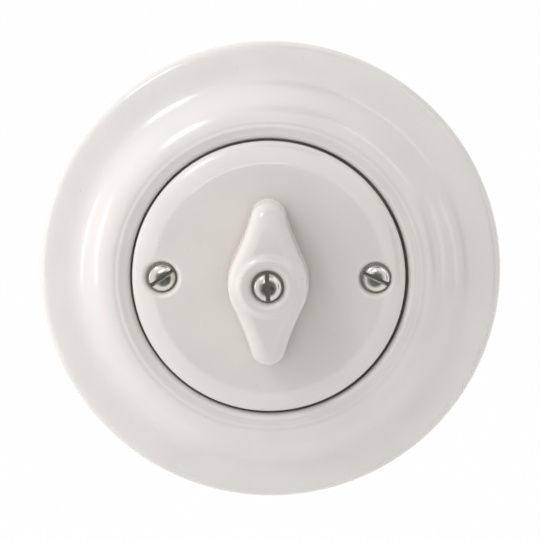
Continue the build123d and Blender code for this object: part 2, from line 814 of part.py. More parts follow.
# Claws: one stamping each with an arm, a rolled barrel round the pin and a toothed leg
barrel_bore = claw_pin_radius + turning_gap
barrel_radius = barrel_bore + claw_sheet
pivot = (claw_pivot_offset, -claw_pivot_depth)
arm_front = barrel_radius - claw_pivot_depth
arm_end = claw_pivot_offset - claw_arm
leg_outer = claw_pivot_offset + barrel_radius
leg_end = -claw_pivot_depth - claw_leg
tooth_pitch = claw_width / claw_tooth_count
with BuildPart() as claw_upper:
    with BuildSketch(half_section(90).offset(-claw_width / 2)):
        with Locations(pivot):
            Circle(barrel_radius)
        Polygon(
            (arm_end, arm_front),
            (claw_pivot_offset, arm_front),
            (claw_pivot_offset, arm_front - claw_sheet),
            (arm_end, arm_front - claw_sheet),
            align=None,
        )
        Polygon(
            (leg_outer, -claw_pivot_depth),
            (leg_outer, leg_end + claw_sheet),
            (leg_outer + claw_tooth_reach, leg_end + claw_sheet),
            (leg_outer + claw_tooth_reach, leg_end),
            (leg_outer - claw_sheet, leg_end),
            (leg_outer - claw_sheet, -claw_pivot_depth),
            align=None,
        )
        with Locations(pivot):
            Circle(barrel_bore, mode=Mode.SUBTRACT)
    extrude(amount=claw_width)
    with BuildSketch(front(leg_end)):
        for i in range(claw_tooth_count - 1):
            notch = (i + 1) * tooth_pitch - claw_width / 2
            with Locations((notch, leg_outer + claw_tooth_reach)):
                Triangle(c=claw_notch_width, A=60, B=60, rotation=180, align=(Align.CENTER, Align.MIN))
    extrude(amount=claw_sheet, mode=Mode.SUBTRACT)

with BuildPart() as claw_lower:
    mirror(claw_upper.part, about=Plane.XY)

pin_half_length = lug_outer + seat_gap
with BuildPart() as claw_pins:
    with BuildSketch(Plane.YZ.offset(-pin_half_length)):
        with Locations(*[(claw_pivot_depth, z) for z in lug_places]):
            Circle(claw_pin_radius)
    extrude(amount=2 * pin_half_length)
    for side in (1, -1):
        with BuildSketch(Plane.YZ.offset(side * pin_half_length)):
            with Locations(*[(claw_pivot_depth, z) for z in lug_places]):
                Circle(rivet_head_radius)
        extrude(amount=side * rivet_head_height)

claw_screw_seat = ring_front + claw_collar_height + claw_screw_travel + free_gap
claw_screw_tip = arm_front + contact_gap
point_middle = claw_screw_point * sin(radians(45))
with BuildPart() as claw_screw_upper:
    with BuildSketch(half_section(0, claw_screw_offset)):
        with BuildLine():
            Line((0, claw_screw_seat + small_head_height), (0, claw_screw_tip))
            ThreePointArc(
                (0, claw_screw_tip),
                (point_middle, claw_screw_tip + claw_screw_point - point_middle),
                (claw_screw_point, claw_screw_tip + claw_screw_point),
            )
            Polyline(
                (claw_screw_point, claw_screw_tip + claw_screw_point),
                (m35_radius, claw_screw_tip + m35_radius),
                (m35_radius, claw_screw_seat),
                (claw_head_radius, claw_screw_seat),
                (claw_head_radius, claw_screw_seat + small_head_height),
                (0, claw_screw_seat + small_head_height),
            )
        make_face()
    revolve(axis=Axis((0, 0, claw_screw_offset), (0, 1, 0)))
    chamfer(claw_screw_upper.edges().group_by(Axis.Y)[0], claw_head_chamfer)
    with BuildSketch(front(claw_screw_seat + small_head_height)):
        with Locations((0, claw_screw_offset)):
            Rectangle(3 * claw_head_radius, slot_width)
    extrude(amount=-claw_slot_depth, mode=Mode.SUBTRACT)

with BuildPart() as claw_screw_lower:
    mirror(claw_screw_upper.part, about=Plane.XY)

# Claw springs: strips trapped between housing and base, bearing on the back of each arm
spring_middle = claw_spring_thickness / 2
anchor_level = housing_rear - spring_seat_depth / 2
anchor_end = half_body_height - claw_spring_anchor + free_gap
spring_rise = half_body_height + 2 * seat_gap + spring_middle
arm_rear = arm_front - claw_sheet
spring_crest = (claw_screw_offset + claw_spring_reach, arm_rear - seat_gap - spring_middle)
with BuildPart() as claw_spring_upper:
    with BuildSketch(half_section(90)):
        with BuildLine() as spring_line:
            FilletPolyline(
                (anchor_end, anchor_level),
                (spring_rise, anchor_level),
                (spring_rise, (anchor_level + spring_crest[1]) / 2),
                spring_crest,
                (spring_crest[0] + claw_spring_hook, spring_crest[1] - claw_spring_hook / 3),
                radius=spring_middle + 2 * seat_gap,
            )
        trace(spring_line.line, claw_spring_thickness)
    extrude(amount=claw_spring_width / 2, both=True)

with BuildPart() as claw_spring_lower:
    mirror(claw_spring_upper.part, about=Plane.XY)

# One labelled file for each piece
pieces = {
    "surround": surround,
    "centre_plate": centre_plate,
    "knob": knob,
    "knob_washer": knob_washer,
    "knob_screw": knob_screw,
    "cover_screws": cover_screws,
    "support_ring": support_ring,
    "spindle_bush": spindle_bush,
    "spindle": spindle,
    "spindle_clip": spindle_clip,
    "detent_cam": detent_cam,
    "detent_housing": detent_housing,
    "mechanism_base": mechanism_base,
    "rotor": rotor,
    "contact_bridge": contact_bridge,
    "right_throw_contact": right_throw_contact,
    "left_throw_contact": left_throw_contact,
    "common_contact": common_contact,
    "terminal_screws": terminal_screws,
    "base_screws": base_screws,
    "base_nuts": base_nuts,
    "claw_upper": claw_upper,
    "claw_lower": claw_lower,
    "claw_pins": claw_pins,
    "claw_screw_upper": claw_screw_upper,
    "claw_screw_lower": claw_screw_lower,
    "claw_spring_upper": claw_spring_upper,
    "claw_spring_lower": claw_spring_lower,
    **leaves,
    **terminals,
}
os.makedirs("parts", exist_ok=True)
for name, piece in pieces.items():
    piece.part.label = name
    export_step(piece.part, f"parts/{name}.step")
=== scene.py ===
"""Looks for a flush rotary wall switch with a glazed porcelain front.

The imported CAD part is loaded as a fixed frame. The porcelain pieces, the slotted screws and the two
claw springs are made anew, and every other piece keeps its CAD shape and gets a finish of its own.

Sizes are in millimetres until a mesh is made. A height counts from the wall towards the room, so a
point at height h lies at y = -h. X runs to the right as seen from the room and Z runs up.
"""

import logging
import math
from collections.abc import Iterable, Iterator
from contextlib import contextmanager
from dataclasses import dataclass, field
from enum import Enum

import bmesh
import bpy
import numpy as np
from mathutils import Matrix, Vector


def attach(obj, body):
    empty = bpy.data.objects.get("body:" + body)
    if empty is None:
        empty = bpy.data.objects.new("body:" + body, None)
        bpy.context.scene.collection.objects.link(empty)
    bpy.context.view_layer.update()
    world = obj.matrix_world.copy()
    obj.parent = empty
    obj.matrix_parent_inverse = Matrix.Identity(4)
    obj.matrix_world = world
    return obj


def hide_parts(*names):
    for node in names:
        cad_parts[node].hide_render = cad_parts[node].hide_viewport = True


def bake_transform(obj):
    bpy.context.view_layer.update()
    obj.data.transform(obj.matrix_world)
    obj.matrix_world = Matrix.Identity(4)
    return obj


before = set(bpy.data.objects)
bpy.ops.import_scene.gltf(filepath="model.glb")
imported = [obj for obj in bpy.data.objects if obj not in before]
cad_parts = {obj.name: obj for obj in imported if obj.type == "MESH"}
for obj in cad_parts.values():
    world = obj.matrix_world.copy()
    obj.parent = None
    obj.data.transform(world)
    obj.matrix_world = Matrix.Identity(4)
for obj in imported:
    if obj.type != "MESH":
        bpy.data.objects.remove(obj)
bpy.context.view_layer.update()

MM = 0.001
PER_METRE = 1 / MM
FULL_TURN = 2 * np.pi
WELD_DISTANCE = 2e-6
HAIR = 1e-7
TINY = 1e-6

# Angles in degrees past which an edge is shaded sharp, or broken by a bevel
GLAZE_FOLD = 42
SCREW_FOLD = 34
LEAF_FOLD = 30
BEVEL_FOLD = 50

Colour = tuple[float, float, float]
Point = tuple[float, float]
Place = tuple[float, float, float]
log = logging.getLogger("rotary_switch")


# Curves and grids


def line(start: Point, end: Point, count: int) -> np.ndarray:
    """Evenly spaced points from start to end: start + share * (end - start)."""
    return np.linspace(start, end, count)


def corners(points: list[Point], counts: list[int]) -> np.ndarray:
    """Straight runs from corner to corner, each with its own count of points."""
    return np.concatenate([line(*run) for run in zip(points, points[1:], counts)])


def arc(centre: Point, radii: Point | float, start: float, end: float, count: int) -> np.ndarray:
    """Points along an ellipse: centre + (a cos t, b sin t), with t from start to end.

    Args:
        centre: The ellipse's middle.
        radii: Its half widths a and b, or the radius of a circle.
        start: First angle in degrees.
        end: Last angle in degrees.
        count: How many points.

    Returns:
        The points as an array of pairs.
    """
    turn = np.radians(np.linspace(start, end, count))
    return np.stack([np.cos(turn), np.sin(turn)], -1) * radii + centre


def clamped_spline(points: list[Point], start: Point, end: Point, count: int) -> np.ndarray:
    """Smooth cubic curve through points, leaving and arriving along set directions.

    The speeds at the points solve one linear system that keeps the second derivative unbroken,
    and each piece is then a cubic Hermite curve between its two points.

    Args:
        points: The points that the curve passes through.
        start: Unit direction at the first point.
        end: Unit direction at the last point.
        count: How many points to return.

    Returns:
        Points along the curve, evenly spaced by chord.
    """
    knots = np.asarray(points, float)
    chord = np.hypot(*np.diff(knots, axis=0).T)
    size = len(knots)
    matrix = np.eye(size)
    target = np.zeros((size, 2))
    target[0], target[-1] = start, end
    inner = np.arange(1, size - 1)
    secant = np.diff(knots, axis=0) / chord[:, None]
    matrix[inner, inner - 1] = chord[inner]
    matrix[inner, inner] = 2 * (chord[inner - 1] + chord[inner])
    matrix[inner, inner + 1] = chord[inner - 1]
    before, after = chord[inner - 1, None], chord[inner, None]
    target[inner] = 3 * (after * secant[inner - 1] + before * secant[inner])
    speed = np.linalg.solve(matrix, target)
    reach = np.concatenate([[0.0], np.cumsum(chord)])
    at = np.linspace(0.0, reach[-1], count)
    piece = np.clip(np.searchsorted(reach, at, side="right") - 1, 0, size - 2)
    span = chord[piece, None]
    t = (at[:, None] - reach[piece, None]) / span
    return (
        (2 * t**3 - 3 * t**2 + 1) * knots[piece]
        + (t**3 - 2 * t**2 + t) * span * speed[piece]
        + (3 * t**2 - 2 * t**3) * knots[piece + 1]
        + (t**3 - t**2) * span * speed[piece + 1]
    )


def ring_angles(columns: int) -> np.ndarray:
    """Angles of a full turn, from straight down and without the repeated last one."""
    return np.linspace(-0.5 * np.pi, 1.5 * np.pi, columns, endpoint=False)


def spun(radius: np.ndarray, height: np.ndarray | float, angle: np.ndarray) -> np.ndarray:
    """Points round the axis: (r cos a, -h, r sin a)."""
    return np.stack([radius * np.cos(angle), 0 * angle - height, radius * np.sin(angle)], -1)


def lifted(flat: np.ndarray, height: np.ndarray | float) -> np.ndarray:
    """Points over pairs of x and z: (x, -h, z)."""
    return np.stack([flat[..., 0], 0 * flat[..., 0] - height, flat[..., 1]], -1)


def revolved(profile: np.ndarray, columns: int) -> np.ndarray:
    """Grid of a profile of radius and height carried round the axis in so many columns."""
    return spun(profile[:, :1], profile[:, 1:], ring_angles(columns)[None, :])


def glaze_drift(points: np.ndarray, depth: float, seed: int) -> np.ndarray:
    """Lets a glazed surface wander slightly, as poured and fired glaze does.

    The height gains depth times the mean of six plane waves sin(k . p + phase) in x and z.

    Args:
        points: Points with x, y, z last.
        depth: Greatest change in height.
        seed: Number that fixes the waves.

    Returns:
        The moved points.
    """
    waves, shortest, longest = 6, 9.0, 26.0
    draw = np.random.default_rng(seed)
    heading = draw.uniform(0, FULL_TURN, waves)
    rate = FULL_TURN / draw.uniform(shortest, longest, waves)
    phase = draw.uniform(0, FULL_TURN, waves)
    along = points[..., 0, None] * np.cos(heading) + points[..., 2, None] * np.sin(heading)
    moved = points.copy()
    moved[..., 1] -= depth * np.sin(along * rate + phase).mean(-1)
    return moved


class Surface:
    """Gathers grids of points, in millimetres, into one welded mesh."""

    def __init__(self) -> None:
        self.points: list[np.ndarray] = []
        self.quads: list[np.ndarray] = []
        self.count = 0

    def add(self, grid: np.ndarray, ring: bool = True, keep: np.ndarray | None = None) -> None:
        """Adds the quads between neighbouring points of a grid.

        Args:
            grid: Points as rows by columns by 3.
            ring: Whether the last column joins the first.
            keep: Which quads to add, as rows by columns, or all.
        """
        rows, columns = grid.shape[:2]
        index = np.arange(rows * columns).reshape(rows, columns) + self.count
        if ring:
            index = np.concatenate([index, index[:, :1]], axis=1)
        quads = np.stack([index[:-1, :-1], index[:-1, 1:], index[1:, 1:], index[1:, :-1]], -1)
        quads = quads.reshape(-1, 4) if keep is None else quads[keep]
        self.points.append(grid.reshape(-1, 3))
        self.quads.append(quads)
        self.count += rows * columns

    def mesh(self, name: str) -> bpy.types.Mesh:
        """Makes the mesh in metres, welded, closed at its poles and with its faces outwards."""
        made = bpy.data.meshes.new(name)
        points = np.concatenate(self.points) * MM
        made.from_pydata(points.tolist(), [], np.concatenate(self.quads).tolist())
        weld(made)
        return made


@contextmanager
def workbench(mesh: bpy.types.Mesh) -> Iterator[bmesh.types.BMesh]:
    """Opens a mesh for work on its points and faces, and writes it back at the end."""
    work = bmesh.new()
    work.from_mesh(mesh)
    yield work
    work.to_mesh(mesh)
    work.free()


def weld(mesh: bpy.types.Mesh) -> None:
    """Joins points that coincide, drops faces without area and turns the faces outwards.

    Args:
        mesh: The mesh, which is changed in place.
    """
    with workbench(mesh) as work:
        bmesh.ops.remove_doubles(work, verts=work.verts, dist=WELD_DISTANCE)
        bmesh.ops.dissolve_degenerate(work, edges=work.edges, dist=WELD_DISTANCE)
        bmesh.ops.recalc_face_normals(work, faces=work.faces)


def coordinates(mesh: bpy.types.Mesh) -> np.ndarray:
    """The mesh's points in metres, as rows of x, y and z."""
    points = np.zeros(len(mesh.vertices) * 3)
    mesh.vertices.foreach_get("co", points)
    return points.reshape(-1, 3)


def smoothed(mesh: bpy.types.Mesh, fold: float) -> bpy.types.Mesh:
    """Shades a mesh smooth, apart from its sharp edges.

    Args:
        mesh: The mesh, which is changed in place.
        fold: Angle in degrees past which an edge stays sharp.

    Returns:
        The same mesh.
    """
    mesh.polygons.foreach_set("use_smooth", np.ones(len(mesh.polygons), bool))
    mesh.set_sharp_from_angle(angle=math.radians(fold))
    return mesh


def painted(mesh: bpy.types.Mesh, material: bpy.types.Material) -> bpy.types.Mesh:
    """Gives the whole of a mesh one material.

    Args:
        mesh: The mesh, which is changed in place.
        material: The material.

    Returns:
        The same mesh.
    """
    mesh.materials.clear()
    mesh.materials.append(material)
    mesh.polygons.foreach_set("material_index", np.zeros(len(mesh.polygons), np.int32))
    return mesh


def linked(name: str, data: bpy.types.ID) -> bpy.types.Object:
    """Puts data into the scene as an object at the origin.

    Args:
        name: Name of the object.
        data: Its mesh, lamp or lens.

    Returns:
        The object.
    """
    made = bpy.data.objects.new(name, data)
    bpy.context.scene.collection.objects.link(made)
    return made


class Cut(Enum):
    """What a tool solid does to the piece."""

    TAKE_AWAY = "DIFFERENCE"
    ADD = "UNION"


def worked(
    mesh: bpy.types.Mesh, tool: bpy.types.Mesh, cut: Cut, bevel: float = 0.0
) -> bpy.types.Mesh:
    """Cuts a tool solid out of a closed mesh, or joins it on, and may break the sharp edges.

    Args:
        mesh: The closed mesh to work on.
        tool: The closed tool solid.
        cut: Whether the tool takes away or adds.
        bevel: Width in millimetres by which the sharp edges are broken.

    Returns:
        The finished mesh.
    """
    body, cutter = linked("body", mesh), linked("cutter", tool)
    join = body.modifiers.new("cut", "BOOLEAN")
    join.operation, join.object, join.solver = cut.value, cutter, "EXACT"
    if bevel:
        ease = body.modifiers.new("ease", "BEVEL")
        ease.width, ease.segments, ease.limit_method = bevel * MM, 2, "ANGLE"
        ease.angle_limit = math.radians(BEVEL_FOLD)
    graph = bpy.context.evaluated_depsgraph_get()
    made = bpy.data.meshes.new_from_object(body.evaluated_get(graph))
    for spare in (body, cutter):
        bpy.data.objects.remove(spare)
    return made


def block(low: Place, high: Place) -> bpy.types.Mesh:
    """Box as a tool solid.

    Args:
        low: Corner with the least x, y and z, in millimetres.
        high: Corner with the greatest.

    Returns:
        The box's mesh.
    """
    made = bpy.data.meshes.new("block")
    middle = (Vector(low) + Vector(high)) / 2
    size = Matrix.Diagonal(Vector(high) - Vector(low)).to_4x4()
    with workbench(made) as work:
        bmesh.ops.create_cube(work, size=1.0, matrix=Matrix.Translation(middle) @ size)
        bmesh.ops.scale(work, vec=(MM, MM, MM), verts=work.verts)
    return made


def round_bar(radius: float, low: float, high: float, x: float) -> bpy.types.Mesh:
    """Round bar along Y as a tool solid.

    Args:
        radius: Its radius.
        low: Height of its end by the wall.
        high: Height of its end by the room.
        x: The x of its axis.

    Returns:
        The bar's mesh.
    """
    bar = Surface()
    grid = revolved(np.array([(0, low), (radius, low), (radius, high), (0, high)], float), 64)
    grid[..., 0] += x
    bar.add(grid)
    return bar.mesh("bar")


# Shader nodes as Python expressions


class Value:
    """A socket in a material's nodes, on which Python's operators add Math nodes."""

    def __init__(self, shader: "Shader", socket: bpy.types.NodeSocket | None) -> None:
        self.shader = shader
        self.socket = socket

    def math(self, operation: str, *terms: "Value | float") -> "Value":
        """Adds one Math node over the given terms."""
        return self.shader.node("ShaderNodeMath", {"operation": operation}, dict(enumerate(terms)))

    def __add__(self, other: "Value | float") -> "Value":
        """Sum."""
        return self.math("ADD", self, other)

    def __radd__(self, other: float) -> "Value":
        """Sum with a number on the left."""
        return self.math("ADD", other, self)

    def __sub__(self, other: "Value | float") -> "Value":
        """Difference."""
        return self.math("SUBTRACT", self, other)

    def __rsub__(self, other: float) -> "Value":
        """Difference with a number on the left."""
        return self.math("SUBTRACT", other, self)

    def __mul__(self, other: "Value | float") -> "Value":
        """Product."""
        return self.math("MULTIPLY", self, other)

    def __rmul__(self, other: float) -> "Value":
        """Product with a number on the left."""
        return self.math("MULTIPLY", other, self)

    def __pow__(self, other: float) -> "Value":
        """Power."""
        return self.math("POWER", self, other)

    def step(self, low: float, high: float) -> "Value":
        """Runs smoothly from 0 at low to 1 at high: 3 t^2 - 2 t^3."""
        settings = {"interpolation_type": "SMOOTHSTEP"}
        inputs = {"Value": self, "From Min": low, "From Max": high}
        return self.shader.node("ShaderNodeMapRange", settings, inputs)


class Shader:
    """Builds the nodes of one material or of the world."""

    def __init__(self, owner: bpy.types.Material | bpy.types.World) -> None:
        owner.use_nodes = True
        self.tree = owner.node_tree
        self.tree.nodes.clear()

    def node(
        self,
        kind: str,
        settings: dict | None = None,
        inputs: dict | None = None,
        output: int | str = 0,
    ) -> Value:
        """Adds any node.

        Args:
            kind: The node's type.
            settings: Its settings, made first.
            inputs: Values or links of its sockets, by name or number.
            output: Which output to return.

        Returns:
            That output as a Value, or none from a node that only takes.
        """
        made = self.tree.nodes.new(kind)
        for name, setting in (settings or {}).items():
            setattr(made, name, setting)
        for name, term in (inputs or {}).items():
            if isinstance(term, Value):
                self.tree.links.new(term.socket, made.inputs[name])
            else:
                made.inputs[name].default_value = term
        return Value(self, made.outputs[output] if made.outputs else None)

    def place(self) -> Value:
        """Point on the piece at rest, in metres."""
        return self.node("ShaderNodeTexCoord", output="Object")

    def parts(self, vector: Value) -> tuple[Value, Value, Value]:
        """The x, y and z of a vector."""
        split = self.node("ShaderNodeSeparateXYZ", inputs={0: vector}).socket.node
        return tuple(Value(self, socket) for socket in split.outputs)

    def scaled(self, vector: Value, factors: Colour) -> Value:
        """A vector scaled along each axis, which stretches a pattern."""
        return self.node("ShaderNodeMapping", inputs={"Vector": vector, "Scale": factors})

    def noise(self, vector: Value, scale: float, detail: float = 3.0, blur: float = 0.5) -> Value:
        """Cloudy noise between 0 and 1 with so many swells in a metre."""
        inputs = {"Vector": vector, "Scale": scale, "Detail": detail, "Roughness": blur}
        return self.node("ShaderNodeTexNoise", inputs=inputs)

    def cells(self, vector: Value, scale: float) -> Value:
        """Distance to the nearest of scattered points."""
        return self.node("ShaderNodeTexVoronoi", inputs={"Vector": vector, "Scale": scale})

    def dots(self, vector: Value, scale: float, core: float, rim: float) -> Value:
        """Scattered dots, 1 within the core's distance of a point and 0 beyond the rim's."""
        return 1.0 - self.cells(vector, scale).step(core, rim)

    def blend(
        self, share: Value | float, first: Value | Colour, second: Value | Colour
    ) -> Value:
        """Mixes two colours.

        Args:
            share: How much of the second there is.
            first: Colour or Value at share 0.
            second: Colour or Value at share 1.

        Returns:
            The mixed colour.
        """
        terms = [t if isinstance(t, Value) else (*t, 1.0) for t in (first, second)]
        inputs = {0: share, 6: terms[0], 7: terms[1]}
        return self.node("ShaderNodeMix", {"data_type": "RGBA"}, inputs, output=2)

    def bump(self, height: Value, depth: float, under: Value | None = None) -> Value:
        """Normal of a fine relief.

        Args:
            height: The relief, from 0 to 1.
            depth: Its full height in millimetres.
            under: Normal of the form under it, if that has a relief too.

        Returns:
            The normal.
        """
        inputs = {"Height": height, "Distance": depth * MM, "Strength": 1.0}
        if under is not None:
            inputs["Normal"] = under
        return self.node("ShaderNodeBump", inputs=inputs)

    def seen(self) -> Value:
        """1 to the camera and in reflections, and 0 where light is gathered."""
        rays = self.node("ShaderNodeLightPath").socket.node.outputs
        found = Value(self, rays["Is Camera Ray"])
        for name in ("Is Glossy Ray", "Is Transmission Ray"):
            found = found.math("MAXIMUM", found, Value(self, rays[name]))
        return found

    def surface(self, **sockets: "Value | float | Colour") -> None:
        """Ends in a Principled shader.

        Args:
            sockets: What its sockets get, named with underscores for spaces.
        """
        inputs = {name.replace("_", " "): term for name, term in sockets.items()}
        shade = self.node("ShaderNodeBsdfPrincipled", inputs=inputs)
        self.node("ShaderNodeOutputMaterial", inputs={"Surface": shade})


def new_material(name: str) -> tuple[bpy.types.Material, Shader]:
    """An empty material and the builder of its nodes."""
    material = bpy.data.materials.new(name)
    return material, Shader(material)


# Finishes


@dataclass(frozen=True)
class Finish:
    """A finish of one of the switch's materials.

    Attributes:
        name: Name of the material.
    """

    name: str

    def material(self) -> bpy.types.Material:
        """Makes the material, each kind of finish in its own way."""
        raise NotImplementedError


@dataclass(frozen=True)
class Glaze(Finish):
    """White glaze over fired porcelain, with bare clay where a piece stood in the kiln.

    Attributes:
        body: Colour of the glazed body.
        pooled: Colour where the glaze lies thicker.
        bare: Colour of the unglazed clay.
        bare_shade: Colour of the clay's grains.
        speck: Colour of the rare specks.
        gap_shade: Painted shade, a dark colour laid on the walls of the gap between the disc and the
            surround.
        joint: Radii in millimetres between which the painted shade starts, and between which it ends.
        joint_heights: Heights in millimetres between which the painted shade ends.
        bare_depth: Height in millimetres below which the clay is bare.
        bare_fade: Half the height in millimetres over which the glaze ends.
        gloss_blur: Roughness of the glaze's own skin.
    """

    body: Colour = (0.805, 0.765, 0.725)
    pooled: Colour = (0.775, 0.74, 0.70)
    bare: Colour = (0.66, 0.61, 0.53)
    bare_shade: Colour = (0.56, 0.51, 0.43)
    speck: Colour = (0.30, 0.24, 0.17)
    gap_shade: Colour = (0.26, 0.235, 0.21)
    joint: tuple[Point, Point] = ((29.0, 29.3), (29.95, 30.1))
    joint_heights: Point = (10.4, 11.5)
    bare_depth: float = 0.35
    bare_fade: float = 0.15
    gloss_blur: float = 0.045

    def material(self) -> bpy.types.Material:
        """Cloudy tone, rare specks, painted shade in the gap, a slow swell in the glaze, a matt foot.
        """
        made, shader = new_material(self.name)
        place = shader.place()
        across, away, up = shader.parts(place)
        height, radius = away * -PER_METRE, (across**2.0 + up**2.0) ** 0.5 * PER_METRE
        glazed = height.step(self.bare_depth - self.bare_fade, self.bare_depth + self.bare_fade)
        # Painted shade: the glaze is darkened on the walls of the gap between disc and surround.
        start, end = self.joint
        joint = radius.step(*start) * (1.0 - radius.step(*end))
        joint = joint * (1.0 - height.step(*self.joint_heights))
        cloud = shader.noise(place, 70.0, 2.0)
        tone = shader.blend(cloud.step(0.35, 0.7), self.body, self.pooled)
        pick = shader.noise(place, 210.0, 0.0).step(0.66, 0.70)
        tone = shader.blend(shader.dots(place, 620.0, 0.05, 0.09) * pick * 0.45, tone, self.speck)
        tone = shader.blend(joint * 0.7, tone, self.gap_shade)
        grain = shader.noise(place, 5200.0, 2.0)
        tone = shader.blend(glazed, shader.blend(grain, self.bare, self.bare_shade), tone)
        swell = shader.bump(shader.noise(place, 95.0, 1.0), 0.05)
        skin = shader.bump(shader.noise(place, 900.0, 2.0), 0.004, swell)
        shader.surface(
            Base_Color=tone,
            Roughness=0.68 - glazed * 0.50 + shader.noise(place, 300.0, 2.0) * 0.06,
            Normal=shader.bump(grain * (1.0 - glazed), 0.06, skin),
            Coat_Weight=glazed * 0.9,
            Coat_Roughness=self.gloss_blur,
            Coat_IOR=1.5,
            IOR=1.5,
        )
        return made


class Brush(Enum):
    """How a metal's surface was worked, as how its tool lines are scaled along each axis."""

    TURNED = (1.0, 0.04, 1.0)
    ROLLED = (1.0, 1.0, 0.05)
    TUMBLED = (1.0, 1.0, 1.0)


@dataclass(frozen=True)
class Metal(Finish):
    """Worked, plated or bare metal.

    Attributes:
        colour: Clean colour.
        dull: Colour of handling marks and tarnish.
        roughness: Base roughness.
        brush: How the surface was worked.
        relief: Depth of the tool lines in millimetres.
        wear: Share of the surface that is dulled.
    """

    colour: Colour
    dull: Colour
    roughness: float = 0.3
    brush: Brush = Brush.TUMBLED
    relief: float = 0.004
    wear: float = 0.45

    def material(self) -> bpy.types.Material:
        """Tool lines, cloudy tarnish and small scuffs."""
        made, shader = new_material(self.name)
        place = shader.place()
        lines = shader.noise(shader.scaled(place, self.brush.value), 5200.0, 3.0, 0.7)
        cloud = shader.noise(place, 260.0, 4.0, 0.62)
        dulled = cloud.step(1.0 - self.wear - 0.2, 1.0 - self.wear + 0.2)
        scuff = shader.dots(shader.scaled(place, (1.0, 0.35, 0.35)), 900.0, 0.04, 0.12)
        shader.surface(
            Base_Color=shader.blend(dulled * 0.7 + scuff * 0.15, self.colour, self.dull),
            Metallic=1.0,
            Roughness=self.roughness + dulled * 0.12 + lines * 0.10,
            Normal=shader.bump(lines + scuff * 0.5, self.relief),
        )
        return made


@dataclass(frozen=True)
class Passivate(Finish):
    """Zinc plate with the faint blue and straw bloom of its passivation.

    Attributes:
        blue: Colour of the bloom's cold clouds.
        straw: Colour of its warm clouds.
        edge: Colour between the crystals.
        roughness: Base roughness.
    """

    blue: Colour = (0.56, 0.585, 0.63)
    straw: Colour = (0.65, 0.60, 0.475)
    edge: Colour = (0.42, 0.43, 0.45)
    roughness: float = 0.34

    def material(self) -> bpy.types.Material:
        """Blue to straw clouds over fine crystals."""
        made, shader = new_material(self.name)
        place = shader.place()
        bloom = shader.noise(place, 85.0, 3.0, 0.6)
        tone = shader.blend(bloom.step(0.35, 0.65), self.blue, self.straw)
        crystal = shader.cells(place, 2600.0)
        shader.surface(
            Base_Color=shader.blend(crystal * 0.25, tone, self.edge),
            Metallic=1.0,
            Roughness=self.roughness + bloom * 0.12,
            Normal=shader.bump(crystal + shader.noise(place, 1500.0, 3.0), 0.006),
        )
        return made


@dataclass(frozen=True)
class BareCeramic(Finish):
    """Unglazed pressed ceramic.

    Attributes:
        light: Colour of the body.
        shade: Colour of its clouds.
        pit: Colour of its pores.
    """

    light: Colour = (0.70, 0.66, 0.575)
    shade: Colour = (0.60, 0.55, 0.46)
    pit: Colour = (0.40, 0.34, 0.26)

    def material(self) -> bpy.types.Material:
        """Fine grain, pores and faint press lines out of the die."""
        made, shader = new_material(self.name)
        place = shader.place()
        cloud = shader.noise(place, 130.0, 4.0, 0.6)
        pore = shader.dots(place, 1300.0, 0.05, 0.14)
        drag = shader.noise(shader.scaled(place, (1.0, 0.03, 1.0)), 2400.0, 2.0)
        tone = shader.blend(cloud.step(0.3, 0.7) * 0.8, self.light, self.shade)
        grain = shader.noise(place, 5600.0, 3.0, 0.7)
        shader.surface(
            Base_Color=shader.blend(pore * 0.4, tone, self.pit),
            Roughness=0.58 + grain * 0.16,
            Normal=shader.bump(grain + drag * 0.7 - pore, 0.03),
            IOR=1.5,
        )
        return made


@dataclass(frozen=True)
class Moulding(Finish):
    """Moulded phenolic with wood flour in it.

    Attributes:
        dark: Main colour.
        light: Colour of the streaks.
        flour: Colour of the wood flour.
    """

    dark: Colour = (0.030, 0.0135, 0.008)
    light: Colour = (0.105, 0.042, 0.02)
    flour: Colour = (0.17, 0.085, 0.045)

    def material(self) -> bpy.types.Material:
        """Flowing streaks under a half-gloss skin."""
        made, shader = new_material(self.name)
        place = shader.place()
        warp = {"Vector": place, "Scale": 160.0, "Detail": 3.0, "Distortion": 1.6}
        flow = shader.node("ShaderNodeTexNoise", inputs=warp)
        flour = shader.dots(shader.scaled(place, (1.0, 0.5, 1.0)), 1500.0, 0.05, 0.2)
        tone = shader.blend(flow.step(0.42, 0.68), self.dark, self.light)
        shader.surface(
            Base_Color=shader.blend(flour * 0.25, tone, self.flour),
            Roughness=0.30 + flow * 0.16,
            Normal=shader.bump(shader.noise(place, 1900.0, 3.0), 0.012),
            IOR=1.55,
        )
        return made


@dataclass(frozen=True)
class Fibre(Finish):
    """Pressed fibre sheet.

    Attributes:
        sheet: Its colour.
        hair: Colour of its hairs.
    """

    sheet: Colour = (0.24, 0.225, 0.20)
    hair: Colour = (0.34, 0.32, 0.29)

    def material(self) -> bpy.types.Material:
        """Short matted hairs across a dull sheet."""
        made, shader = new_material(self.name)
        hair = shader.noise(shader.scaled(shader.place(), (1.0, 1.0, 0.12)), 4200.0, 3.0, 0.7)
        shader.surface(
            Base_Color=shader.blend(hair, self.sheet, self.hair),
            Roughness=0.62 + hair * 0.2,
            Normal=shader.bump(hair, 0.02),
            IOR=1.45,
        )
        return made


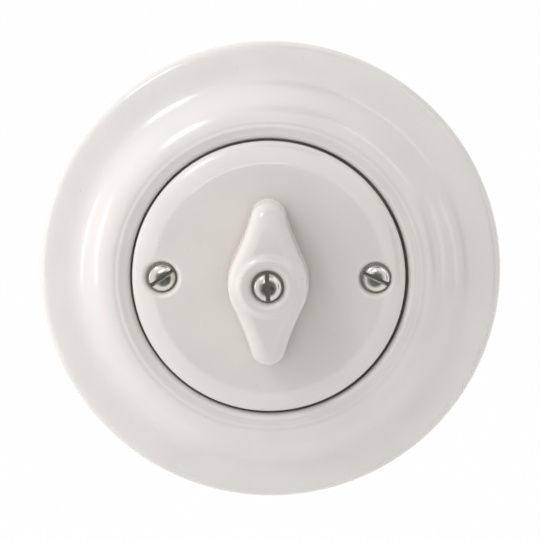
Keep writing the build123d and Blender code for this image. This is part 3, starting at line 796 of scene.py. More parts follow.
PORCELAIN = Glaze("porcelain_glaze", gloss_blur=0.17)
# Painted shade: a darker copy of the glaze for the knob, whose lowered body and pooled colours stand
# in for the shade on its face.
SHADED_KNOB_PORCELAIN = Glaze(
    "knob_glaze_shaded",
    body=(0.765, 0.725, 0.685),
    pooled=(0.74, 0.70, 0.66),
    bare_depth=-9.0,
    gloss_blur=0.20,
)
PLATE_PORCELAIN = Glaze("plate_glaze", bare_depth=9.0)
NICKEL = Metal(
    "nickel_plate", (0.70, 0.675, 0.63), (0.46, 0.44, 0.41), 0.10, Brush.TURNED, 0.002, 0.35
)
ZINC_SCREW = Metal("zinc_screws", (0.60, 0.60, 0.60), (0.42, 0.42, 0.41), 0.30, Brush.TURNED)
BRASS = Metal("brass", (0.74, 0.54, 0.27), (0.45, 0.30, 0.14), 0.26, Brush.ROLLED)
BRONZE = Metal("contact_bronze", (0.70, 0.45, 0.28), (0.42, 0.25, 0.15), 0.28, Brush.ROLLED, 0.003)
SPRING = Metal("spring_steel", (0.33, 0.35, 0.40), (0.22, 0.20, 0.19), 0.27, Brush.ROLLED, 0.003)
HARD_STEEL = Metal("hard_steel", (0.30, 0.30, 0.31), (0.17, 0.155, 0.14), 0.36, relief=0.005)
ZINC_SHEET = Passivate("zinc_sheet")
STEATITE = BareCeramic("steatite")
PHENOLIC = Moulding("phenolic")
ROTOR_PHENOLIC = Moulding("rotor_phenolic", (0.085, 0.026, 0.014), (0.17, 0.062, 0.03))
WASHER_FIBRE = Fibre("washer_fibre")


# Pieces


@dataclass
class PorcelainSurround:
    """Moulded porcelain ring that stands on the wall.

    Its profile is the CAD ring's: a full-round rim, a gentle skirt, a steep shoulder, a flat crest,
    a rounded lip into the rebate, and a hollow back.
    """

    radius: float = 50.0
    rim_radius: float = 2.2
    rim_slope: float = 18.0
    foot_overhang: float = 1.1
    foot_width: float = 3.3
    foot_lift: float = 0.3
    knee: Point = (42.0, 6.1)
    steep_top: Point = (36.6, 10.8)
    crest_outer: float = 33.3
    crest_height: float = 12.0
    crest_roll: float = 0.12
    lip_round: float = 1.65
    rebate_radius: float = 29.85
    rebate_height: float = 8.8
    ledge_radius: float = 26.6
    ledge_underside: float = 5.0
    ledge_chamfer: float = 0.66
    hollow_top: float = 7.7
    hollow_end_slope: float = 60.0
    shell_thickness: float = 3.6
    shell_inset: float = 0.7
    columns: int = 288
    drift: float = 0.05
    drift_seed: int = 11
    drift_fade: float = 3.0

    def profile(self) -> np.ndarray:
        """Closed run of (radius, height) points, once round the section.

        The crest's soft roll is roll * sin(t)^2, with t from 0 to pi across the crest.
        """
        rim = self.radius - self.rim_radius
        foot = self.radius - self.foot_overhang
        foot_inner = foot - self.foot_width
        lean, fall = math.radians(self.rim_slope), math.radians(self.hollow_end_slope)
        skirt = (rim + self.rim_radius * math.sin(lean), self.rim_radius * (1 + math.cos(lean)))
        crest = (self.crest_outer, self.crest_height)
        lip_centre = (self.rebate_radius + self.lip_round, self.crest_height - self.lip_round)
        (knee_x, knee_y), (steep_x, steep_y) = self.knee, self.steep_top
        hollow_knee = (knee_x - self.shell_inset, knee_y - self.shell_thickness)
        hollow_steep = (steep_x - self.shell_inset, steep_y - self.shell_thickness)
        roll = line(crest, (lip_centre[0], self.crest_height), 9)
        roll[:, 1] += self.crest_roll * np.sin(np.linspace(0, np.pi, 9)) ** 2
        rim_start = math.degrees(math.asin((self.foot_lift - self.rim_radius) / self.rim_radius))
        outside = [skirt, self.knee, self.steep_top, crest]
        inside = [(self.crest_outer, self.hollow_top), hollow_steep, hollow_knee, (foot_inner, 0)]
        rebate = [
            (self.rebate_radius, lip_centre[1]),
            (self.rebate_radius, self.rebate_height),
            (self.ledge_radius, self.rebate_height),
            (self.ledge_radius, self.ledge_underside),
            (self.rebate_radius + self.ledge_chamfer, self.ledge_underside),
            (lip_centre[0], self.hollow_top),
        ]
        return np.concatenate(
            [
                line((foot_inner, 0), (foot, 0), 3),
                arc((rim, self.rim_radius), self.rim_radius, rim_start, 90 - self.rim_slope, 18),
                clamped_spline(outside, (-math.cos(lean), math.sin(lean)), (-1, 0), 60),
                roll,
                arc(lip_centre, self.lip_round, 90, 180, 14),
                corners(rebate, [4, 3, 3, 3, 3]),
                clamped_spline(inside, (1, 0), (math.cos(fall), -math.sin(fall)), 24),
            ]
        )

    def build(self) -> bpy.types.Object:
        """Carries the profile round the axis and dresses it."""
        form = Surface()
        profile = self.profile()
        grid = revolved(profile, self.columns)
        moving = glaze_drift(grid, self.drift, self.drift_seed)
        share = np.clip(profile[:, 1] / self.drift_fade, 0, 1)[:, None, None]
        form.add(grid + (moving - grid) * share)
        mesh = smoothed(form.mesh("surround_glazed"), GLAZE_FOLD)
        piece = linked("surround_glazed", painted(mesh, PORCELAIN.material()))
        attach(piece, "switch_body")
        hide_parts("surround")
        return piece


@dataclass
class PorcelainCentrePlate:
    """Crowned porcelain disc with two dished screw seats and a spigot behind.

    The top is a polar grid. Round each screw a cell of that grid is left out, and rings fill it
    from the cell's border to the screw's axis, so that the dish is round and the mesh whole.
    The disc sits a little off centre in its rebate, as a loose fit does.
    """

    radius: float = 29.4
    opening: float = 5.5
    opening_round: float = 0.4
    edge_top: float = 11.8
    edge_run: float = 7.5
    edge_rise: float = 2.6
    edge_sweep: float = 82.0
    edge_rows_from: float = 29.5
    crown: float = 0.65
    ridge: Point = (25.2, 0.09)
    ridge_round: float = 0.2
    ridge_fade: float = 1.5
    seat: float = 8.8
    seat_round: float = 0.25
    underside: float = 10.725
    spigot_radius: float = 26.3
    spigot_inner: float = 22.1
    spigot_bottom: float = 6.5
    screw_offset: float = 23.0
    dish_floor: float = 12.175
    dish_radius: float = 3.22
    dish_lip: float = 1.28
    floor_rings: tuple[float, ...] = (2.6, 1.8, 0.6, 0.0)
    boss_radius: float = 3.3
    boss_overlap: float = 0.6
    hole_radius: float = 1.8
    columns: int = 256
    cell: Point = (17.6, 28.3)
    half_cell: int = 10
    drift: float = 0.04
    drift_seed: int = 23
    drift_fade: float = 2.0
    play: Point = (-0.08, 0.1)

    def top(self, radius: np.ndarray) -> np.ndarray:
        """Height of the glazed face over a radius.

        Outside the shoulder it is an ellipse, edge_top + rise * sqrt(1 - ((r - centre) / run)^2).
        Inside, a cubic rises from the ellipse's slope to a level rim at the opening. A faint ridge
        left by the mould is added, height * exp(-(sqrt(d^2 + round^2) - round) / fade) at
        distance d.

        Args:
            radius: Distances from the spindle's axis.

        Returns:
            The height at each.
        """
        sweep = math.radians(self.edge_sweep)
        centre = self.radius - self.edge_run
        shoulder = centre + self.edge_run * math.cos(sweep)
        level = self.edge_top + self.edge_rise * math.sin(sweep)
        slope = -self.edge_rise * math.cos(sweep) / (self.edge_run * math.sin(sweep))
        fall = np.clip((radius - centre) / self.edge_run, 0, 1)
        outer = self.edge_top + self.edge_rise * np.sqrt(1 - fall**2)
        span = shoulder - self.opening
        t = np.clip((radius - self.opening) / span, 0, 1)
        inner = level + self.crown * (2 * t**3 - 3 * t**2 + 1) + slope * span * (t**3 - t**2)
        place, height = self.ridge
        off = np.sqrt((radius - place) ** 2 + self.ridge_round**2) - self.ridge_round
        return np.where(radius > shoulder, outer, inner) + height * np.exp(-off / self.ridge_fade)

    def on_top(self, flat: np.ndarray) -> np.ndarray:
        """Points of the glazed face over pairs of x and z."""
        return lifted(flat, self.top(np.hypot(flat[..., 0], flat[..., 1])))

    def face(self, form: Surface) -> None:
        """Adds the glazed face with its two dished seats.

        Args:
            form: The surface that takes them.
        """
        inner, outer = self.cell
        run = (self.edge_run, 1)
        edge = arc((self.radius - self.edge_run, 0), run, self.edge_rows_from, 0, 12)[1:, 0]
        rows = np.linspace(inner, outer, 2 * self.half_cell + 1)
        first = np.linspace(self.opening + self.opening_round, inner, 12)[:-1]
        radius = np.concatenate([first, rows, edge])[:, None]
        angle = ring_angles(self.columns)
        grid = self.on_top(np.stack([radius * np.cos(angle), radius * np.sin(angle)], -1))
        keep = np.ones((len(radius) - 1, self.columns), bool)
        low, high = len(first), len(first) + 2 * self.half_cell
        for middle, side in ((self.columns // 4, 1), (3 * self.columns // 4, -1)):
            left, right = middle - self.half_cell, middle + self.half_cell
            keep[low:high, left:right] = False
            sides = [
                grid[low, left:right],
                grid[low:high, right],
                grid[high, right:left:-1],
                grid[high:low:-1, left],
            ]
            form.add(self.dish(np.concatenate(sides), side * self.screw_offset))
        form.add(grid, keep=keep)

    def dish(self, border: np.ndarray, centre: float) -> np.ndarray:
        """Rings from a cell's border to the axis of its screw.

        Outside the lip a ring is a blend of the border and the lip's circle, on the glazed face.
        Over the lip the radius shrinks as sin t while the height above the seat falls as cos t.

        Args:
            border: Points once round the cell.
            centre: The x of the screw's axis.

        Returns:
            Grid of the rings, from the border inwards.
        """
        across = np.stack([border[:, 0] - centre, border[:, 2]], -1)
        way = across / np.hypot(*across.T)[:, None]
        share = np.linspace(0, 1, 9)[:, None, None]
        rim = self.dish_radius + self.dish_lip
        outside = across * (1 - share) + way * rim * share
        turn = np.linspace(0, np.pi / 2, 16)[1:]
        ring = np.concatenate([rim - self.dish_lip * np.sin(turn), self.floor_rings])
        flat = np.concatenate([outside, way * ring[:, None, None]])
        points = self.on_top(flat + (centre, 0))
        above = np.concatenate([np.cos(turn), np.zeros(len(self.floor_rings))])[:, None]
        sunk = points[len(outside) :]
        sunk[..., 1] = (sunk[..., 1] + self.dish_floor) * above - self.dish_floor
        return points

    def back(self) -> np.ndarray:
        """Profile of the rim, the seat, the spigot, the underside and the opening."""
        rim = self.opening + self.opening_round
        lip = float(self.top(np.array(rim))) - self.opening_round
        foot = (self.radius - self.seat_round, self.seat + self.seat_round)
        behind = [
            (foot[0], self.seat),
            (self.spigot_radius, self.seat),
            (self.spigot_radius, self.spigot_bottom),
            (self.spigot_inner, self.spigot_bottom),
            (self.spigot_inner, self.underside),
            (self.opening, self.underside),
            (self.opening, lip),
        ]
        return np.concatenate(
            [
                line((self.radius, self.edge_top), (self.radius, foot[1]), 5),
                arc(foot, self.seat_round, 0, -90, 5),
                corners(behind, [3, 3, 3, 3, 5, 4]),
                arc((rim, lip), self.opening_round, 180, 90, 7),
            ]
        )

    def build(self) -> bpy.types.Object:
        """Joins face and back, adds the screw bosses and bores them."""
        form = Surface()
        self.face(form)
        form.add(revolved(self.back(), self.columns))
        mesh = form.mesh("centre_plate_glazed")
        bottom, boss_top = self.spigot_bottom, self.underside + self.boss_overlap
        for x in (-self.screw_offset, self.screw_offset):
            mesh = worked(mesh, round_bar(self.boss_radius, bottom, boss_top, x), Cut.ADD)
            hole = round_bar(self.hole_radius, bottom - 1, self.dish_floor + 1, x)
            mesh = worked(mesh, hole, Cut.TAKE_AWAY)
        points = coordinates(mesh) / MM
        share = np.clip((-points[:, 1:2] - self.seat) / self.drift_fade, 0, 1)
        points += (glaze_drift(points, self.drift, self.drift_seed) - points) * share
        points[:, [0, 2]] += self.play
        mesh.vertices.foreach_set("co", (points * MM).ravel())
        mesh = smoothed(mesh, GLAZE_FOLD)
        piece = linked("centre_plate_glazed", painted(mesh, PLATE_PORCELAIN.material()))
        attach(piece, "switch_body")
        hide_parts("centre_plate")
        return piece


@dataclass
class PorcelainKnob:
    """Lozenge-shaped toggle with a crowned top, a raised round boss and a well for its screw.

    Each column of the grid starts at a point of the outline and runs inwards along the outline's
    normal over the rounded edge, then straight to the well's lip and on to the screw hole.
    """

    half_length: float = 17.7
    half_width: float = 8.8
    waist_radius: float = 11.0
    tip_radius: float = 3.9
    flank_radius: float = 60.0
    base: float = 15.525
    height: float = 10.4
    crown: float = 1.5
    taper: float = 2.0
    edge_run: float = 3.3
    edge_drop: float = 2.8
    boss_rise: float = 0.5
    boss_slope: Point = (5.5, 7.1)
    well_radius: float = 3.35
    well_depth: float = 1.8
    well_lip: float = 1.55
    well_fillet: float = 0.3
    foot: float = 0.35
    web: float = 2.9
    hole_radius: float = 1.55
    collar_radius: float = 5.2
    collar_depth: float = 4.0
    collar_chamfer: float = 0.3
    socket_radius: float = 3.05
    socket_flat: float = 2.3

    @property
    def boss_top(self) -> float:
        """Height of the raised boss."""
        return self.base + self.height + self.boss_rise

    def outline(self) -> tuple[np.ndarray, np.ndarray]:
        """Outline points and outward normals, once round.

        A quarter is three tangent arcs: the waist about (w, 0), the hollow flank about a point
        outside, and the tip about (0, t). The other quarters are its mirror images.

        Returns:
            Points and unit normals as pairs of x and z.
        """
        waist, tip = self.half_width - self.waist_radius, self.half_length - self.tip_radius
        to_waist = self.flank_radius + self.waist_radius
        to_tip = self.flank_radius + self.tip_radius
        span = math.hypot(waist, tip)
        along = (to_waist**2 - to_tip**2 + span**2) / (2 * span)
        across = math.sqrt(to_waist**2 - along**2)
        flank_x = waist + (-waist * along + tip * across) / span
        flank = (flank_x, (tip * along + waist * across) / span)
        waist_turn = math.degrees(math.atan2(flank[1], flank[0] - waist))
        tip_turn = math.degrees(math.atan2(flank[1] - tip, flank[0]))
        waist_arc = arc((waist, 0), self.waist_radius, 0, waist_turn, 30)
        flank_arc = arc(flank, self.flank_radius, waist_turn + 180, tip_turn + 180, 22)[1:-1]
        tip_arc = arc((0, tip), self.tip_radius, tip_turn, 90, 20)
        normals = [
            (waist_arc - (waist, 0)) / self.waist_radius,
            (flank - flank_arc) / self.flank_radius,
            (tip_arc - (0, tip)) / self.tip_radius,
        ]

        def all_round(quarter: list[np.ndarray]) -> np.ndarray:
            """Mirrors a quarter's arcs into a full turn, each shared point once."""
            pairs = np.concatenate(quarter)
            half = np.concatenate([pairs, (pairs * (-1, 1))[-2::-1]])
            return np.concatenate([half, -half[1:-1]])

        return all_round([waist_arc, flank_arc, tip_arc]), all_round(normals)

    def top(self, z: np.ndarray) -> np.ndarray:
        """Height of the crowned face, which falls as a wide circle, R - sqrt(R^2 - z^2)."""
        wide = (self.half_length**2 + self.crown**2) / (2 * self.crown)
        return self.base + self.height - (wide - np.sqrt(wide**2 - z**2))

    def raised(self, grid: np.ndarray) -> np.ndarray:
        """Lifts the face into the round boss.

        Each point moves towards the boss's top by 1 - s^2 (3 - 2 s), where s runs from 0 to 1
        across the boss's slope.

        Args:
            grid: Points of the face, which are changed in place.

        Returns:
            The same points.
        """
        start, end = self.boss_slope
        s = np.clip((np.hypot(grid[..., 0], grid[..., 2]) - start) / (end - start), 0, 1)
        grid[..., 1] += (-self.boss_top - grid[..., 1]) * (1 - s**2 * (3 - 2 * s))
        return grid

    def edge(self, points: np.ndarray, normals: np.ndarray) -> np.ndarray:
        """Rows up the tapered side and over the rounded edge.

        Over the edge the inset grows as run * (1 - cos t) and the height as drop * sin t.

        Args:
            points: The outline's points.
            normals: The outline's normals.

        Returns:
            Grid of the rows, from the foot upwards.
        """
        slope = math.tan(math.radians(self.taper))
        low, stop = self.base + self.foot, self.top(points[:, 1]) - self.edge_drop
        turn = np.radians(np.linspace(-90, 0, 5))[:, None] + 0 * stop
        foot = (self.foot * (1 - np.cos(turn)), self.base + self.foot * (1 + np.sin(turn)))
        rise = low + np.linspace(0, 1, 7)[1:-1, None] * (stop - low)
        turn = np.radians(np.linspace(0, 90, 20))[:, None]
        inset = (stop - self.base) * slope + self.edge_run * (1 - np.cos(turn))
        crown = self.top(points[:, 1] - normals[:, 1] * inset)
        insets = np.concatenate([foot[0], (rise - self.base) * slope, inset])
        heights = np.concatenate([foot[1], rise, crown - self.edge_drop * (1 - np.sin(turn))])
        return self.raised(lifted(points - normals * insets[..., None], heights))

    def middle(self, rim: np.ndarray) -> np.ndarray:
        """Rows from the end of the rounded edge over the boss and down to the spindle's socket.

        The rows of the face lie closer to each other towards the well, at 1 - (1 - t)^2.

        Args:
            rim: Last row of the rounded edge.

        Returns:
            Grid of the rows, from the edge inwards.
        """
        turn = np.arctan2(rim[:, 2], rim[:, 0])
        way = np.stack([np.cos(turn), np.sin(turn)], -1)
        lip = self.well_radius + self.well_lip
        share = 1 - (1 - np.linspace(0, 1, 44)[1:, None, None]) ** 2
        flat = rim[:, [0, 2]] * (1 - share) + way * lip * share
        floor = self.boss_top - self.well_depth
        corner = (self.well_radius - self.well_fillet, floor + self.well_fillet)
        hole = [(corner[0], floor), (self.hole_radius, floor), (self.hole_radius, floor - self.web)]
        rings = np.concatenate(
            [
                arc((lip, self.boss_top - self.well_lip), self.well_lip, 90, 180, 16)[1:],
                arc(corner, self.well_fillet, 0, -90, 6),
                corners(hole, [4, 3]),
            ]
        )
        face = self.raised(lifted(flat, self.top(flat[..., 1])))
        return np.concatenate([face, lifted(way * rings[:, :1, None], rings[:, 1:])])

    def underneath(self, rim: np.ndarray, outline: np.ndarray) -> np.ndarray:
        """Rows from the socket's roof out over the collar and the underside to the outline.

        Args:
            rim: Last row of the rounded edge, for the directions of the columns.
            outline: The foot's outline.

        Returns:
            Grid of the rows, from the screw hole outwards.
        """
        turn = np.arctan2(rim[:, 2], rim[:, 0])
        flats = self.socket_flat / np.maximum(np.abs(np.sin(turn)), TINY)
        socket = np.minimum(self.socket_radius, flats)
        roof = self.boss_top - self.well_depth - self.web
        foot, ease = self.base - self.collar_depth, self.collar_chamfer
        steps = [
            (self.hole_radius, roof),
            (socket, roof),
            (socket, foot),
            (self.collar_radius - ease, foot),
            (self.collar_radius, foot + ease),
            (self.collar_radius, self.base),
        ]
        rows = [spun(radius, height, turn) for radius, height in steps]
        last = lifted(outline, self.base)
        return np.stack([*rows, (rows[-1] + last) / 2, last])

    def build(self) -> bpy.types.Object:
        """Joins edge, middle and underside."""
        points, normals = self.outline()
        edge = self.edge(points, normals)
        form = Surface()
        form.add(np.concatenate([edge, self.middle(edge[-1])]))
        form.add(self.underneath(edge[-1], points - normals * self.foot))
        mesh = smoothed(form.mesh("knob_glazed"), GLAZE_FOLD)
        piece = linked("knob_glazed", painted(mesh, SHADED_KNOB_PORCELAIN.material()))
        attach(piece, "turning_parts")
        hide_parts("knob")
        return piece


class ShankEnd(Enum):
    """How a screw's shank ends."""

    CHAMFERED = "short cone"
    DOMED = "hemisphere that bears on a claw"


@dataclass
class SlottedScrew:
    """Slotted machine screw with a rounded head and a cut thread.

    Attributes:
        node: CAD node that it stands for.
        body: CAD body that it rides on.
        slot_name: Not used.
        finish: Its metal.
        places: Axis place x and z, height of the seat, angle of the slot and side of each screw.
        crown: Slope in degrees of the head's top where its rounded edge starts.
        thread_share: Depth of the thread as a share of its pitch.
    """

    node: str
    body: str
    slot_name: str
    finish: Metal
    places: list[tuple[float, float, float, float, int]]
    head_radius: float = 3.0
    head_height: float = 2.2
    head_round: float = 1.1
    head_ease: float = 0.15
    crown: float = 11.0
    shank_radius: float = 1.5
    length: float = 11.0
    neck: float = 0.25
    pitch: float = 0.5
    thread_share: float = 0.55
    rows_per_pitch: int = 7
    slot_width: float = 0.95
    slot_depth: float = 1.2
    slot_ease: float = 0.07
    tip: ShankEnd = ShankEnd.CHAMFERED
    tip_radius: float = 1.2
    columns: int = 56

    def head(self) -> bpy.types.Mesh:
        """Revolved head, a little crowned, with its slot cut and the slot's edges broken."""
        lean = math.radians(self.crown)
        crown_end = self.head_radius - self.head_round * (1 - math.sin(lean))
        rise = crown_end * math.tan(lean) / 2
        shoulder = self.head_height - rise - self.head_round * math.cos(lean)
        crown = line((0, self.head_height), (crown_end, self.head_height), 9)
        crown[:, 1] -= rise * (crown[:, 0] / crown_end) ** 2
        centre = (self.head_radius - self.head_round, shoulder)
        below = [
            (self.head_radius, shoulder),
            (self.head_radius, self.head_ease),
            (self.head_radius - self.head_ease, 0),
            (self.shank_radius, 0),
            (self.shank_radius, -self.neck),
            (0, -self.neck),
        ]
        edge = arc(centre, self.head_round, 90 - self.crown, 0, 12)
        profile = np.concatenate([crown, edge, corners(below, [4, 2, 3, 2, 3])])
        form = Surface()
        form.add(revolved(profile, self.columns))
        reach, half = self.head_radius + 1, self.slot_width / 2
        bottom = self.slot_depth - self.head_height
        tool = block((-reach, -self.head_height - 1, -half), (reach, bottom, half))
        return worked(form.mesh("head"), tool, Cut.TAKE_AWAY, bevel=self.slot_ease)

    def thread(self) -> np.ndarray:
        """Grid of the threaded shank.

        The radius is the crest less the thread's depth times a triangle wave of height and angle,
        1 - |2 frac(h / pitch + angle / full turn) - 1|, and never more than the point allows.
        """
        depth = self.thread_share * self.pitch
        rows = int(self.length / self.pitch * self.rows_per_pitch)
        down = np.linspace(self.neck, self.length, rows)[:, None]
        angle = ring_angles(self.columns)[None, :]
        wave = np.abs(2 * ((down / self.pitch + angle / FULL_TURN) % 1) - 1)
        fade = np.clip((down - self.neck) / self.pitch, 0, 1)
        radius = self.shank_radius - depth * (1 - wave) * fade
        if self.tip is ShankEnd.DOMED:
            below = np.clip(down - (self.length - self.tip_radius), 0, self.tip_radius)
            dome = np.sqrt(np.clip(self.tip_radius**2 - below**2, 0, None))
            limit = np.where(below > 0, dome, self.shank_radius)
        else:
            limit = self.tip_radius + (self.length - down)
        grid = spun(np.minimum(radius, limit), -down, angle)
        return np.concatenate([grid, grid[-1:] * (0, 1, 0)])

    def mesh(self) -> bpy.types.Mesh:
        """Head and thread welded at the neck into one closed mesh at the origin."""
        made, thread = self.head(), Surface()
        thread.add(self.thread())
        level = self.neck * MM - HAIR
        with workbench(made) as work:
            neck = [face for face in work.faces if all(v.co.y > level for v in face.verts)]
            bmesh.ops.delete(work, geom=neck, context="FACES")
            work.from_mesh(thread.mesh("thread"))
        weld(made)
        return made

    def build(self) -> bpy.types.Object:
        """Copies the screw to each of its places in one mesh.

        A screw is turned about its axis by its slot's angle. One on side -1 has its head towards
        the wall, so its heights and its turned z change sign, which turns it round whole.
        """
        name = f"{self.node}_cut"
        source = self.mesh()
        points = coordinates(source) / MM
        faces = [list(face.vertices) for face in source.polygons]
        all_points, all_faces = [], []
        for x, z, seat, turn, side in self.places:
            cos, sin = math.cos(math.radians(turn)), math.sin(math.radians(turn))
            across = points[:, 0] * cos - points[:, 2] * sin
            up = (points[:, 0] * sin + points[:, 2] * cos) * side
            offset = len(all_points) * len(points)
            all_points.append(np.stack([across + x, points[:, 1] * side - seat, up + z], -1) * MM)
            all_faces += [[corner + offset for corner in face] for face in faces]
        made = bpy.data.meshes.new(name)
        made.from_pydata(np.concatenate(all_points).tolist(), [], all_faces)
        weld(made)
        piece = linked(name, painted(smoothed(made, SCREW_FOLD), self.finish.material()))
        piece.modifiers.new("even", "WEIGHTED_NORMAL").keep_sharp = True
        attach(piece, self.body)
        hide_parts(self.node)
        return piece


@dataclass
class CarriedPieces:
    """The CAD nodes that keep their shape, each under the finish of the real piece."""

    finishes: dict[Finish, list[str]] = field(
        default_factory=lambda: {
            WASHER_FIBRE: ["knob_washer"],
            ZINC_SHEET: ["support_ring", "claw_upper", "claw_lower"],
            SPRING: ["spindle_clip", "detent_spring_left", "detent_spring_right"],
            HARD_STEEL: ["detent_cam"],
            PHENOLIC: ["detent_housing"],
            STEATITE: ["mechanism_base"],
            ROTOR_PHENOLIC: ["rotor"],
            BRONZE: ["right_throw_contact", "left_throw_contact", "common_contact"],
            ZINC_SCREW: ["base_nuts", "claw_pins"],
            BRASS: [
                "spindle_bush",
                "spindle",
                "contact_bridge",
                "terminal_throw_left",
                "terminal_throw_right",
                "terminal_common_left",
                "terminal_common_right",
            ],
        }
    )

    def build(self) -> Iterable[bpy.types.Object]:
        """Gives each node its material, made once for each finish."""
        for finish, names in self.finishes.items():
            material = finish.material()
            for name in names:
                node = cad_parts[name]
                painted(node.data, material)
                yield node


@dataclass
class ClawSprings:
    """The two leaves that draw the claws back.

    Each is the CAD leaf cut across into short lengths between its seat in the base and its crest.
    The seat and the crest are given as y and z.
    """

    seat: Point = (7.2, 19.0)
    crest: Point = (3.2, 21.6)
    lengths: int = 14

    def build(self) -> Iterable[bpy.types.Object]:
        """Cuts and dresses the upper and the lower leaf."""
        finish = SPRING.material()
        for end, side in (("upper", 1), ("lower", -1)):
            name = f"claw_spring_{end}_leaf"
            seat, crest = (Vector((0, y, side * z)) * MM for y, z in (self.seat, self.crest))
            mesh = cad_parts[f"claw_spring_{end}"].data.copy()
            mesh.name = name
            with workbench(mesh) as work:
                for share in np.linspace(0, 1, self.lengths + 1):
                    bmesh.ops.bisect_plane(
                        work,
                        geom=[*work.verts, *work.edges, *work.faces],
                        dist=WELD_DISTANCE,
                        plane_co=seat.lerp(crest, share),
                        plane_no=crest - seat,
                    )
            piece = linked(name, smoothed(painted(mesh, finish), LEAF_FOLD))
            tuple(seat)
            tuple(crest)
            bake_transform(piece)
            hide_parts(f"claw_spring_{end}")
            yield piece


# Studio


@dataclass
class Studio:
    """Pale floor, soft light and the camera.

    The tent of light is brightest from the left and from level, and dimmer from the right, from
    above and from the room.

    Attributes:
        lamps: Clock, off and distance of each lamp, its two sizes in metres and its watts.
        cards: Clock, off and distance of each dark card and its two sizes in metres.
    """

    target: Place = (0.0, -2.2, 0.0)
    azimuth: float = 1.2
    elevation: float = 9.0
    distance: float = 900.0
    view_width: float = 117.39
    sensor: float = 36.0
    floor_level: float = -320.0
    floor_reach: float = 14.0
    floor_tone: float = 0.86
    floor_white: float = 0.95
    tent: float = 1.06
    tent_level: float = 0.36
    tent_left: float = 0.68
    tent_right: float = 0.42
    tent_top: float = 0.30
    tent_room: float = 0.26
    lamps: dict[str, tuple[Place, Point, float]] = field(
        default_factory=lambda: {
            "key": ((128.0, 58.0, 1.5), (0.30, 0.26), 3.0),
            "front_strip": ((120.0, 9.5, 0.55), (0.16, 0.023), 0.043),
            "right_strip": ((46.0, 56.0, 1.5), (0.9, 0.07), 0.7),
            "right_edge": ((0.0, 84.0, 1.5), (0.9, 0.10), 0.5),
            "left_edge": ((180.0, 84.0, 1.5), (0.9, 0.10), 1.2),
        }
    )
    cards: dict[str, tuple[Place, Point]] = field(
        default_factory=lambda: {
            "front_card": ((270.0, 9.0, 0.6), (0.46, 0.46)),
            "top_card": ((80.0, 62.0, 1.5), (1.1, 0.62)),
            "right_card": ((-8.0, 52.0, 1.6), (1.2, 0.58)),
        }
    )

    def camera(self) -> None:
        """Camera whose view is view_width wide at the target."""
        lens = bpy.data.cameras.new("camera")
        lens.sensor_width = self.sensor
        lens.lens = self.sensor * self.distance / self.view_width
        lens.clip_start, lens.clip_end = 0.05, 100.0
        made = linked("camera", lens)
        turn, rise = math.radians(self.azimuth), math.radians(self.elevation)
        level = Vector((math.sin(turn), -math.cos(turn), 0)) * math.cos(rise)
        back = level + Vector((0, 0, math.sin(rise)))
        made.location = Vector(self.target) * MM + back * self.distance * MM
        made.rotation_mode = "QUATERNION"
        made.rotation_quaternion = (-back).to_track_quat("-Z", "Y")
        bpy.context.scene.camera = made

    def facing(self, clock: float, off: float, away: float) -> Matrix:
        """Place from which a lamp or a card faces the object.

        Args:
            clock: Direction round the spindle in degrees, from +X towards +Z.
            off: Angle in degrees away from the spindle's own direction.
            away: Distance in metres.

        Returns:
            Its matrix, with X along the clock's turn and Z away from the object.
        """
        turn, lean = math.radians(clock), math.radians(off)
        outwards = Vector((math.cos(turn), 0, math.sin(turn)))
        way = outwards * math.sin(lean) + Vector((0, -1, 0)) * math.cos(lean)
        along = Vector((-math.sin(turn), 0, math.cos(turn)))
        turned = Matrix((along, way.cross(along), way)).transposed().to_4x4()
        return Matrix.Translation(way * away) @ turned

    def softbox(self, name: str, place: Place, size: Point, watts: float) -> None:
        """Rectangular lamp that faces the object.

        Args:
            name: Name of the lamp.
            place: Its clock and off angles in degrees and its distance in metres.
            size: Its sizes in metres along the clock's turn and along the off angle.
            watts: Its power.
        """
        lamp = bpy.data.lights.new(name, "AREA")
        lamp.shape, lamp.size, lamp.size_y, lamp.energy = "RECTANGLE", *size, watts
        linked(name, lamp).matrix_world = self.facing(*place)

    def card(self, name: str, place: Place, size: Point) -> None:
        """Dark round card that the camera doesn't see, for the shade in the metal and the glaze.

        It covers fully up to three quarters of its radius and fades out towards its rim.

        Args:
            name: Name of the card.
            place: Its clock and off angles in degrees and its distance in metres.
            size: Its sizes in metres along the clock's turn and along the off angle.
        """
        solid, side = 0.75, np.linspace(-1, 1, 25)
        turned = np.array(self.facing(*place))
        half = np.array([size[0] / 2, size[1] / 2, 1.0])
        u, v = np.meshgrid(side, side)
        form = Surface()
        flat = np.stack([u, v, 0 * u], -1) * half @ turned[:3, :3].T + turned[:3, 3]
        form.add(flat / MM, ring=False)
        mesh = form.mesh(name)
        local = (coordinates(mesh) - turned[:3, 3]) @ turned[:3, :3] / half
        cover = 1 - np.clip((np.hypot(local[:, 0], local[:, 1]) - solid) / (1 - solid), 0, 1)
        mesh.attributes.new("cover", "FLOAT", "POINT").data.foreach_set("value", cover)
        material, shader = new_material(name)
        cover = shader.node("ShaderNodeAttribute", {"attribute_name": "cover"}, output="Fac")
        cloud = shader.noise(shader.place(), 13.0, 2.0).step(0.42, 0.60)
        tone = shader.blend(cloud, (0.02, 0.02, 0.02), (0.15, 0.15, 0.145))
        shader.surface(Base_Color=tone, Roughness=0.9, Alpha=cover)
        made = linked(name, painted(mesh, material))
        made.visible_camera = False

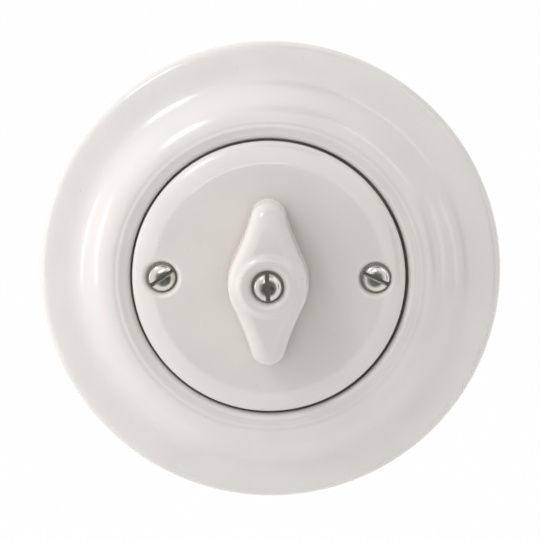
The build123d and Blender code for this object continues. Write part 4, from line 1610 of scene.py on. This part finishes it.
    def world(self) -> None:
        """White to the camera and in reflections, and a soft tent of light for everything else."""
        sky = bpy.data.worlds.new("studio")
        bpy.context.scene.world = sky
        shader = Shader(sky)
        across, away, up = shader.parts(shader.node("ShaderNodeTexCoord", output="Generated"))
        level = away.step(-0.42, -0.05) - away.step(0.1, 0.5)
        left, right = (across * -1.0).step(0.0, 0.9), across.step(0.0, 0.9)
        top, room = up.step(0.0, 0.9), (away * -1.0).step(0.42, 0.86)
        light = self.tent + level * self.tent_level + left * self.tent_left
        light = light - right * self.tent_right - top * self.tent_top - room * self.tent_room
        white = shader.node("ShaderNodeBackground", inputs={"Strength": 1.0, "Color": (1, 1, 1, 1)})
        tent = shader.node("ShaderNodeBackground", inputs={"Strength": 1.0, "Color": light})
        mixed = shader.node("ShaderNodeMixShader", inputs={0: shader.seen(), 1: tent, 2: white})
        shader.node("ShaderNodeOutputWorld", inputs={"Surface": mixed})

    def floor(self) -> None:
        """Wide pale floor that reads as the white background and still takes a soft shadow."""
        reach, level = self.floor_reach, self.floor_level * MM
        sides = ((-reach, -reach), (reach, -reach), (reach, reach), (-reach, reach))
        mesh = bpy.data.meshes.new("floor")
        mesh.from_pydata([(x, y, level) for x, y in sides], [], [(0, 1, 2, 3)])
        material, shader = new_material("floor")
        tone = (*(self.floor_tone,) * 3, 1.0)
        pale = shader.node("ShaderNodeBsdfDiffuse", inputs={"Color": tone})
        white = shader.node("ShaderNodeEmission", inputs={"Color": (1, 1, 1, 1), "Strength": 1.0})
        share = shader.seen() * self.floor_white
        mixed = shader.node("ShaderNodeMixShader", inputs={0: share, 1: pale, 2: white})
        shader.node("ShaderNodeOutputMaterial", inputs={"Surface": mixed})
        linked("floor", painted(mesh, material))

    def build(self) -> None:
        """Sets up the whole studio."""
        bpy.context.scene.view_settings.view_transform = "Standard"
        self.camera()
        self.world()
        self.floor()
        for name, lamp in self.lamps.items():
            self.softbox(name, *lamp)
        for name, card in self.cards.items():
            self.card(name, *card)


def front_and_rear_screws() -> list[SlottedScrew]:
    """The screws of the switch, each where its CAD node is."""
    pockets = [(x, z, -24.5, 0, -1) for x in (-14.6, 14.6) for z in (-13.4, 13.4)]
    small = {"head_radius": 2.6, "head_height": 1.7, "head_round": 0.85}
    claw = {
        "head_height": 1.7,
        "head_round": 0.42,
        "shank_radius": 1.75,
        "length": 5.5,
        "pitch": 0.6,
        "slot_depth": 0.85,
        "tip": ShankEnd.DOMED,
        "tip_radius": 1.3,
    }
    nickel, zinc = ("nickel", NICKEL), ("zinc_screw", ZINC_SCREW)
    cover = [(-23.0, 0, 12.175, 35, 1), (23.0, 0, 12.175, -25, 1)]
    base = [(x, 0, 1.2, 0, 1) for x in (-15.8, 15.8)]
    return [
        SlottedScrew("knob_screw", "turning_parts", *nickel, [(0, 0, 25.125, 93, 1)]),
        SlottedScrew("cover_screws", "switch_body", *nickel, cover, length=14.8),
        SlottedScrew("base_screws", "switch_body", *zinc, base, length=28.15, **small),
        SlottedScrew("terminal_screws", "switch_body", *zinc, pockets, length=2.45, **small),
        *(
            SlottedScrew(
                f"claw_screw_{end}", f"{end}_claw_screw", *zinc, [(0, z, 3.65, 0, 1)], **claw
            )
            for end, z in (("upper", 20.7), ("lower", -20.7))
        ),
    ]


def main() -> None:
    """Builds the porcelain, the screws, the finishes of the other pieces and the studio."""
    logging.basicConfig(level=logging.INFO, format="%(message)s")
    Studio().build()
    porcelain = (PorcelainSurround(), PorcelainCentrePlate(), PorcelainKnob())
    made = [maker.build() for maker in (*porcelain, *front_and_rear_screws())]
    for piece in (*made, *ClawSprings().build()):
        log.info("%s: %d faces", piece.name, len(piece.data.polygons))
    for node in CarriedPieces().build():
        log.info("%s: finished as %s", node.name, node.data.materials[0].name)


if __name__ == "__main__":
    main()
